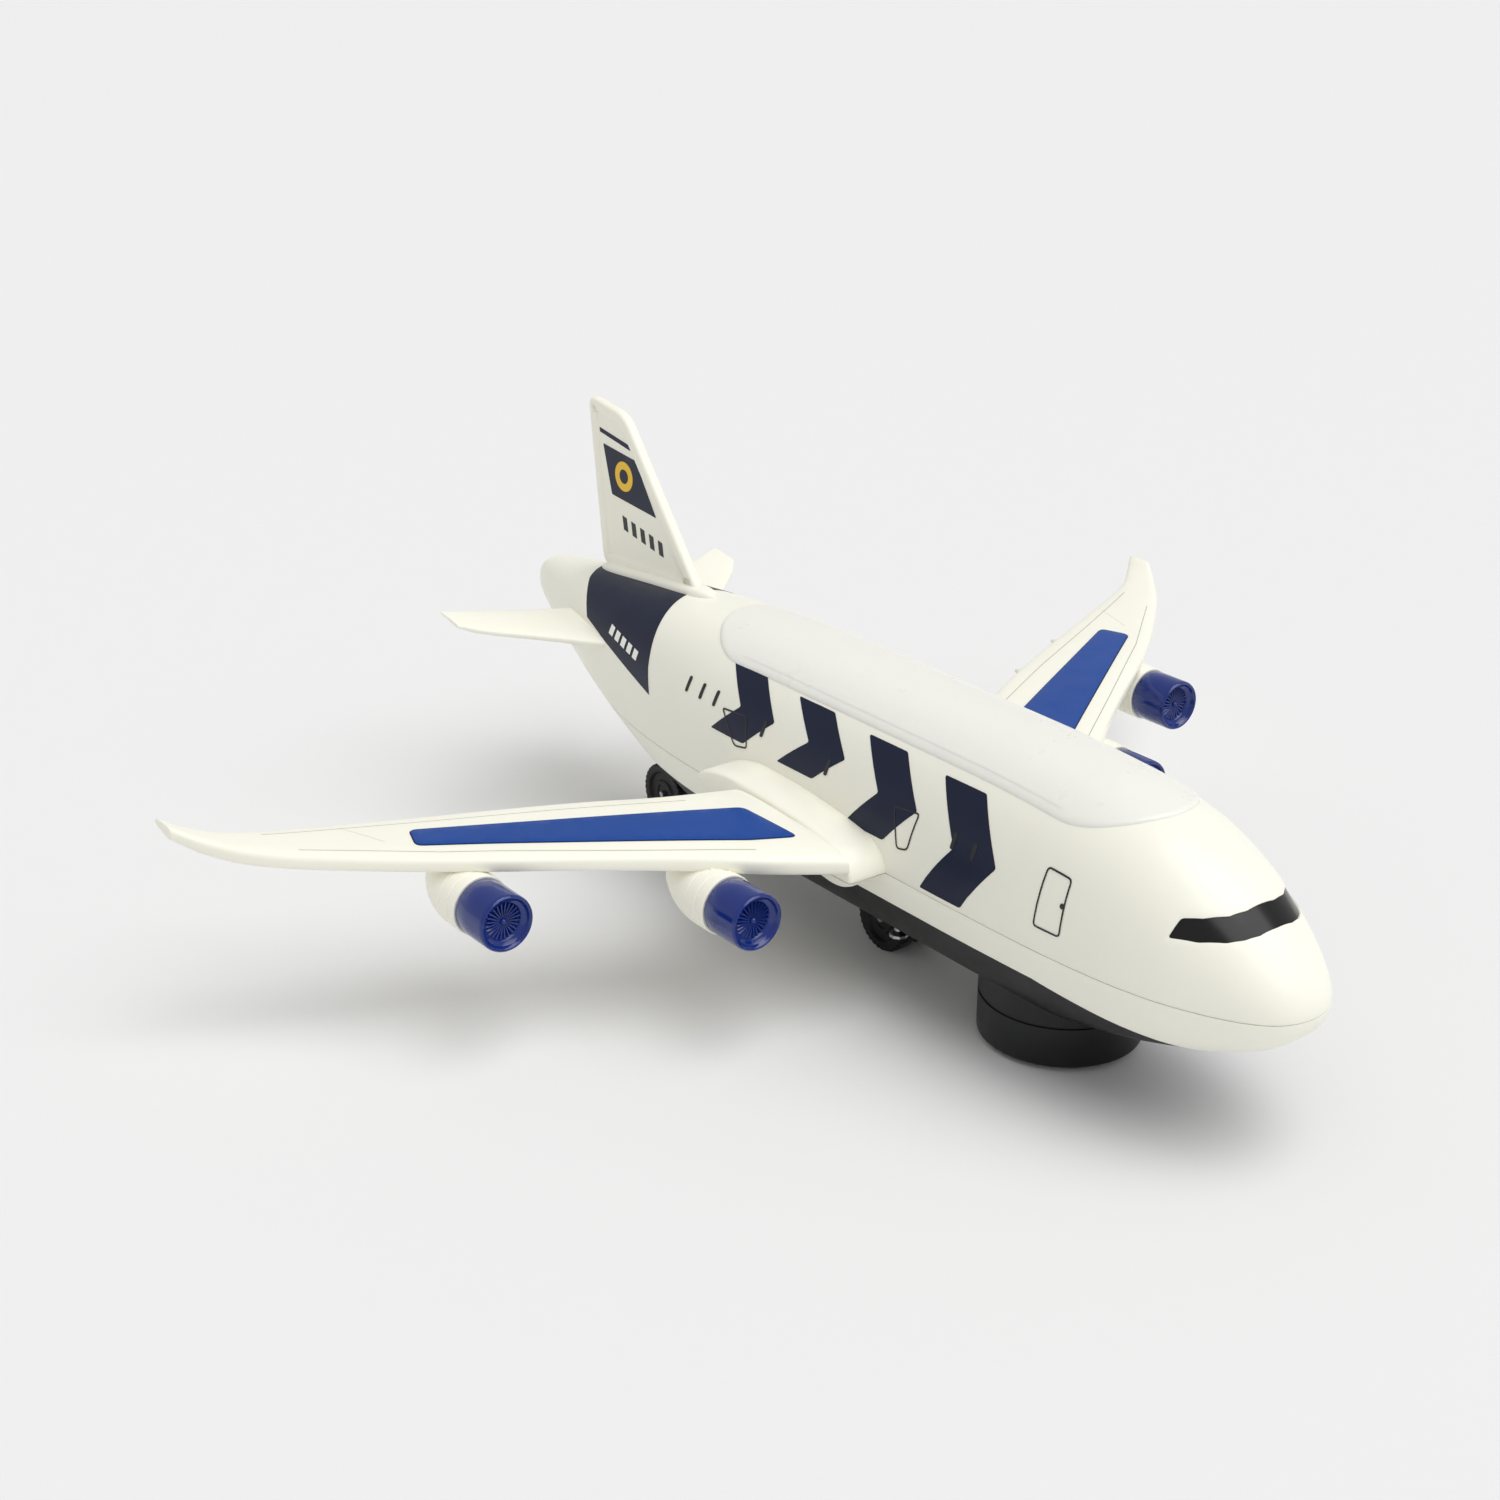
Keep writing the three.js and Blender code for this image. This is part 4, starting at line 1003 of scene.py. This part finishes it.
def build_fin():
    loop = round_corners(FIN_OUTLINE, 5, 8)
    rings = [densify(loop, 1.5)]
    size = len(rings[0])
    for distance in FIN_RIM_STEPS:
        rings.append(inset(rings[0], distance))
    flat, triangles = fill(rings[-1], 3.0)
    base = [p for ring in rings for p in ring]
    start = len(base)
    both = np.array(base + [tuple(p) for p in flat])
    faces = ring_faces(len(rings), size) + [tuple(start + v for v in t) for t in triangles]
    half = fin_half_thickness(both, rings[0])
    points, all_faces = [], []
    for side in (1, -1):
        shift = len(points)
        points += [(side * h, y, z) for (y, z), h in zip(both, half)]
        all_faces += [tuple(shift + v for v in f) for f in faces]
    count = len(both)
    all_faces += [(k, (k + 1) % size, count + (k + 1) % size, count + k) for k in range(size)]
    fin = add_mesh("fin", points, all_faces, MATERIALS["cream"])
    tidy(fin)
    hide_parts("tail_fin")


def build_fin_socket():
    """The low raised lip that the fin stands in."""
    rings = []
    sink = FIN_SOCKET["sink"]
    for k in range(41):
        t = k / 40
        y = FIN_SOCKET["front"] + (FIN_SOCKET["rear"] - FIN_SOCKET["front"]) * t
        end = (1 - abs(2 * t - 1) ** 6) ** 0.5
        crown = float(crown_height(np.array([0.0]), np.array([y]))[0])
        half_width = max(FIN_SOCKET["half_width"] * end, 0.05)
        rise = max(FIN_SOCKET["rise"] * end, 0.05)
        angles = math.pi * np.arange(25) / 24
        x = half_width * bulge(np.cos(angles), 3.4)
        z = crown - sink + (rise + sink) * bulge(np.sin(angles), 3.4)
        top = np.stack([x, np.full(25, y), z], axis=1)
        under = top[::-1][1:-1].copy()
        under[:, 2] = crown - sink
        rings.append(np.concatenate([top, under]))
    piece = add_loft("fin_socket_lip", rings, MATERIALS["cream"], sharp=60)


def flat_print(name, corners, side, x, material, radius=0.6):
    loop = round_corners(corners, radius, 4)
    flat, triangles = fill(loop, 4.0)
    points = [(side * x, y, z) for y, z in flat]
    piece = add_mesh(name, points, triangles, material)
    thicken(piece, 0.06, 0)
    return apply_modifiers(piece)


def build_fin_prints():
    x = FIN_HALF - FIN_PANEL_DROP + 0.03
    for side, word in SIDES:
        flat_print(f"fin_stripe_{word}", FIN_STRIPE, side, x, PRINT_NAVY, 0.2)
        flat_print(f"fin_field_{word}", FIN_FIELD, side, x, PRINT_NAVY)
        disc = disc_outline(FIN_DISC, 5.2, 48)
        flat_print(f"fin_disc_{word}", disc, side, x + 0.05, PRINT_YELLOW, 0.1)
        core = disc_outline(FIN_DISC, 2.5, 40)
        flat_print(f"fin_disc_core_{word}", core, side, x + 0.1, PRINT_NAVY, 0.1)
        for number in range(5):
            y = 284.8 + number * 5.2
            z = 95.2 + number * 0.9
            bar = [(y, z - 1), (y + 2.6, z - 0.5), (y + 3.4, z + 4.4), (y + 0.8, z + 3.9)]
            flat_print(f"fin_bar_{number + 1}_{word}", bar, side, x, PRINT_BLACK, 0.2)


# ---- belly and running gear ----
DRUM_Y = 90.0
DRUM_PROFILE = [
    (21.9, 24.5), (24.0, 24.5), (24.2, 24.3), (24.2, 15.0), (23.75, 14.8), (23.75, 14.2),
    (24.2, 14.0), (24.2, 2.4), (24.0, 1.9), (23.5, 1.6), (22.2, 1.6), (21.9, 1.9),
]
DOOR = {"half_width": 17.0, "front": 176.0, "rear": 236.0}
WELL = {"half_width": 9.6, "front": 148.5, "rear": 172.5, "roof": 22.6}
SCREWS = [(0, 48), (21, 138), (-21, 138), (0, 258)]
DOOR_SCREW_Y = 230
DOOR_LIFT = 0.45
RIB_START, RIB_STEP = 182, 2.6
MID_Y, REAR_Y, ROLLER_R = 160.5, 279.0, 10.8
LEG_FOOT_R = 3.6
LEG_HALF = 1.9


def keel_height(x, y):
    half_width, waist, _, keel = section_at(turn_of(y)).T
    share = np.clip(np.abs(x) / half_width, 0, 1)
    return waist - (waist - keel) * (1 - share**KEEL_POWER) ** (1 / KEEL_POWER)


def cut_away(piece, cutters):
    for number, cutter in enumerate(cutters):
        modifier = piece.modifiers.new(f"cut_{number}", "BOOLEAN")
        modifier.operation = "DIFFERENCE"
        modifier.solver = "EXACT"
        modifier.object = cutter
    apply_modifiers(piece)
    for cutter in cutters:
        bpy.data.objects.remove(cutter)


def build_chassis():
    black = MATERIALS["black"]
    hull = fuselage_band("chassis_hull", black, hull=False, inset_by=0.8)
    cutters = [
        add_turned("cutter_drum", [(0, 0), (23, 0), (23, 40), (0, 40)], "z",
                   np.array([0, DRUM_Y, 0]), black),
        add_block("cutter_well", (-WELL["half_width"], WELL["front"], 0),
                  (WELL["half_width"], WELL["rear"], WELL["roof"]), black, edge=0.6),
        add_block("cutter_door", (-DOOR["half_width"] - 0.3, DOOR["front"] - 0.3, 0),
                  (DOOR["half_width"] + 0.3, DOOR["rear"] + 0.3, 24), black, edge=0.6),
        add_block("cutter_switch", (-2.8, 129.7, 0), (2.8, 141.3, 30), black, edge=0.3),
    ]
    for number, (x, y) in enumerate(SCREWS):
        cutters.append(add_turned(f"cutter_screw_{number}", [(0, 0), (3.4, 0), (3.4, 40), (0, 40)],
                                  "z", np.array([x, y, 0]), black, segments=40))
    cut_away(hull, cutters)
    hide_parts("belly_chassis")
    drum = add_turned("drum_ring", DRUM_PROFILE, "z", np.array([0, DRUM_Y, 0]), black,
                      segments=144, closed=True)


def build_well():
    black = MATERIALS["black"]
    w, f, r, top = WELL["half_width"], WELL["front"], WELL["rear"], WELL["roof"]
    walls = [
        ("well_front", (-w - 1.4, f - 1.4, 16), (w + 1.4, f, top + 1.4)),
        ("well_rear", (-w - 1.4, r, 16), (w + 1.4, r + 1.4, top + 1.4)),
        ("well_port", (w, f - 0.2, 16), (w + 1.4, r + 0.2, top + 1.4)),
        ("well_starboard", (-w - 1.4, f - 0.2, 16), (-w, r + 0.2, top + 1.4)),
        ("well_roof", (-w - 0.2, f - 0.2, top), (w + 0.2, r + 0.2, top + 1.4)),
    ]
    for name, lo, hi in walls:
        add_block(name, lo, hi, black)


def build_legs():
    for name, y, half, top in (("mid_leg", MID_Y, 6, 23), ("rear_leg", REAR_Y, 7.5, 34.6)):
        arc = [(y + LEG_FOOT_R * math.cos(a), ROLLER_R + LEG_FOOT_R * math.sin(a))
               for a in np.linspace(math.pi, TAU, 17)]
        outline = arc + [(y + half, top), (y - half, top)]
        leg = add_plate(name, outline, -LEG_HALF, LEG_HALF, MATERIALS["black"], edge=0.4)


def build_door():
    corners = [(-DOOR["half_width"], DOOR["front"]), (DOOR["half_width"], DOOR["front"]),
               (DOOR["half_width"], DOOR["rear"]), (-DOOR["half_width"], DOOR["rear"])]
    hole = disc_outline((0, DOOR_SCREW_Y), 2.0, 32)
    flat, triangles = fill(round_corners(corners, 1.2, 4), 2.0, [hole])
    z = keel_height(flat[:, 0], flat[:, 1]) + DOOR_LIFT
    triangles = [list(reversed(t)) for t in triangles]
    door = add_mesh("battery_cover", np.column_stack([flat, z]), triangles, MATERIALS["black"])
    thicken(door, 1.3)
    bevel(door, 0.25, 2, 60)
    apply_modifiers(door)
    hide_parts("battery_door")
    for k in range(5):
        y = RIB_START + k * RIB_STEP
        z0 = float(keel_height(np.array([0.0]), np.array([y]))[0]) + DOOR_LIFT
        rib = add_block(f"cover_grip_{k + 1}", (-8, y - 0.5, z0 - 0.5), (8, y + 0.5, z0 + 0.6),
                        MATERIALS["black"], edge=0.3)


def tread_wheel(name, y, z, x0, x1, radius, side, material, body, teeth, node):
    """A wheel with a hub recess and shallow cross ribs round its rim."""
    width = x1 - x0
    profile = [
        (1.2, 1.0), (radius * 0.3, 1.0), (radius * 0.34, 0.5), (radius * 0.42, 0.5),
        (radius * 0.46, 1.1), (radius * 0.68, 1.1), (radius * 0.74, 0.2), (radius - 0.9, 0.0),
        (radius - 0.25, 0.25), (radius, 0.9), (radius, width - 0.9), (radius - 0.25, width - 0.25),
        (radius - 0.9, width), (radius * 0.74, width - 0.2), (radius * 0.68, width - 1.1),
        (radius * 0.46, width - 1.1), (radius * 0.42, width - 0.5), (radius * 0.34, width - 0.5),
        (radius * 0.3, width - 1.0), (1.2, width - 1.0),
    ]
    segments = teeth * 8
    rings = []
    for r, h in profile + profile[:1]:
        ring = []
        for k in range(segments):
            a = TAU * k / segments
            drop = 0.45 if (k % 8) in (0, 1, 2) and r > radius - 0.5 else 0.0
            ring.append((side * (x0 + h), y + (r - drop) * math.cos(a), z + (r - drop) * math.sin(a)))
        rings.append(np.array(ring))
    piece = add_loft(name, rings, material, body, caps=(False, False), sharp=35)
    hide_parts(node)


def build_wheels():
    for side, word in SIDES:
        tread_wheel(f"drive_tyre_{word}", DRUM_Y, 9.0, 10.4, 14.6, 9.0, side, MATERIALS["rubber"],
                    "drive_wheels", 28, f"drive_wheel_{word}")
        tread_wheel(f"mid_tyre_{word}", MID_Y, ROLLER_R, 2.4, 8.8, ROLLER_R, side, MATERIALS["black"],
                    "mid_roller", 32, f"mid_roller_wheel_{word}")
        tread_wheel(f"rear_tyre_{word}", REAR_Y, ROLLER_R, 2.4, 7.6, ROLLER_R, side, MATERIALS["black"],
                    "rear_roller", 32, f"rear_roller_wheel_{word}")


# ---- CAD pieces that stay as they are ----
KEPT = {
    "steel": ["chassis_screw_1", "chassis_screw_2", "chassis_screw_3", "chassis_screw_4",
              "battery_door_screw", "battery_contact_front", "battery_contact_rear",
              "power_switch_body", "drive_axle", "motor_pinion", "motor", "mid_roller_axle",
              "rear_roller_axle"],
    "cell": ["battery_cell_1", "battery_cell_2", "battery_cell_3"],
    "grey": ["power_switch_knob", "speaker"],
    "black": ["gearbox_turntable", "motor_clamp"],
    "nylon": ["drive_axle_gear", "idler_gear"],
    "board": ["circuit_board"],
    "lamp": ["roof_lamp_front", "roof_lamp_rear"],
}


def dress_kept():
    for slot, names in KEPT.items():
        for name in names:
            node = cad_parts[name]
            node.data.materials.clear()
            node.data.materials.append(MATERIALS[slot])
            bevel(node, 0.12, 2, 35)


# ---- surroundings ----
FLOOR_COLOUR = (234, 234, 234)
FLOOR_REACH = 12.0
WORLD_STRENGTH = 0.55


def build_floor():
    mesh = bpy.data.meshes.new("floor")
    r = FLOOR_REACH
    mesh.from_pydata([(-r, -r, 0), (r, -r, 0), (r, r, 0), (-r, r, 0)], [], [(0, 1, 2, 3)])
    mesh.materials.append(moulded("floor_pale", FLOOR_COLOUR, 0.9, tint=0.0, grain=0.0))
    floor = bpy.data.objects.new("floor", mesh)
    bpy.context.scene.collection.objects.link(floor)


def add_sun(name, energy, tilt, spread):
    """A soft sun: its turn about x and y, and its width, in degrees."""
    data = bpy.data.lights.new(name, "SUN")
    data.energy = energy
    data.angle = math.radians(spread)
    lamp = bpy.data.objects.new(name, data)
    lamp.rotation_euler = [math.radians(a) for a in tilt]
    bpy.context.scene.collection.objects.link(lamp)


def build_light():
    world = bpy.data.worlds.new("studio")
    world.use_nodes = True
    sky = world.node_tree.nodes["Background"]
    sky.inputs["Color"].default_value = (1, 1, 1, 1)
    sky.inputs["Strength"].default_value = WORLD_STRENGTH
    bpy.context.scene.world = world
    add_sun("high_sun", 1.5, (27, 12, 0), 60)
    add_sun("key_sun", 0.3, (10, 10, 0), 30)
    bpy.context.scene.view_settings.view_transform = "Standard"


CAMERA_PLACE = (-0.4370, -0.5118, 0.3431)
CAMERA_YAW = 37.45
CAMERA_PITCH = 22.93
CAMERA_ROLL = 0.11
CAMERA_LENS = 56.4
CAMERA_SENSOR = 36


def build_camera():
    data = bpy.data.cameras.new("camera")
    data.lens = CAMERA_LENS
    data.sensor_width = CAMERA_SENSOR
    camera = bpy.data.objects.new("camera", data)
    turn = (
        Matrix.Rotation(math.radians(-CAMERA_YAW), 4, "Z")
        @ Matrix.Rotation(math.radians(90 - CAMERA_PITCH), 4, "X")
        @ Matrix.Rotation(math.radians(CAMERA_ROLL), 4, "Z")
    )
    camera.matrix_world = Matrix.Translation(CAMERA_PLACE) @ turn
    bpy.context.scene.collection.objects.link(camera)
    bpy.context.scene.camera = camera


build_shells()
build_window()
build_collars()
build_roof()
build_tail_band()
for side, word in SIDES:
    build_doors(side, word)
    build_slots(side, word)
    build_chevrons(side, word)
    build_wing(side, word)
    build_stabiliser(side, word)
    for place, x, y, z in ENGINES:
        build_engine(place, x, y, z, side, word)
build_fin()
build_fin_socket()
build_fin_prints()
build_chassis()
build_well()
build_legs()
build_door()
build_wheels()
dress_kept()
build_floor()
build_light()
build_camera()
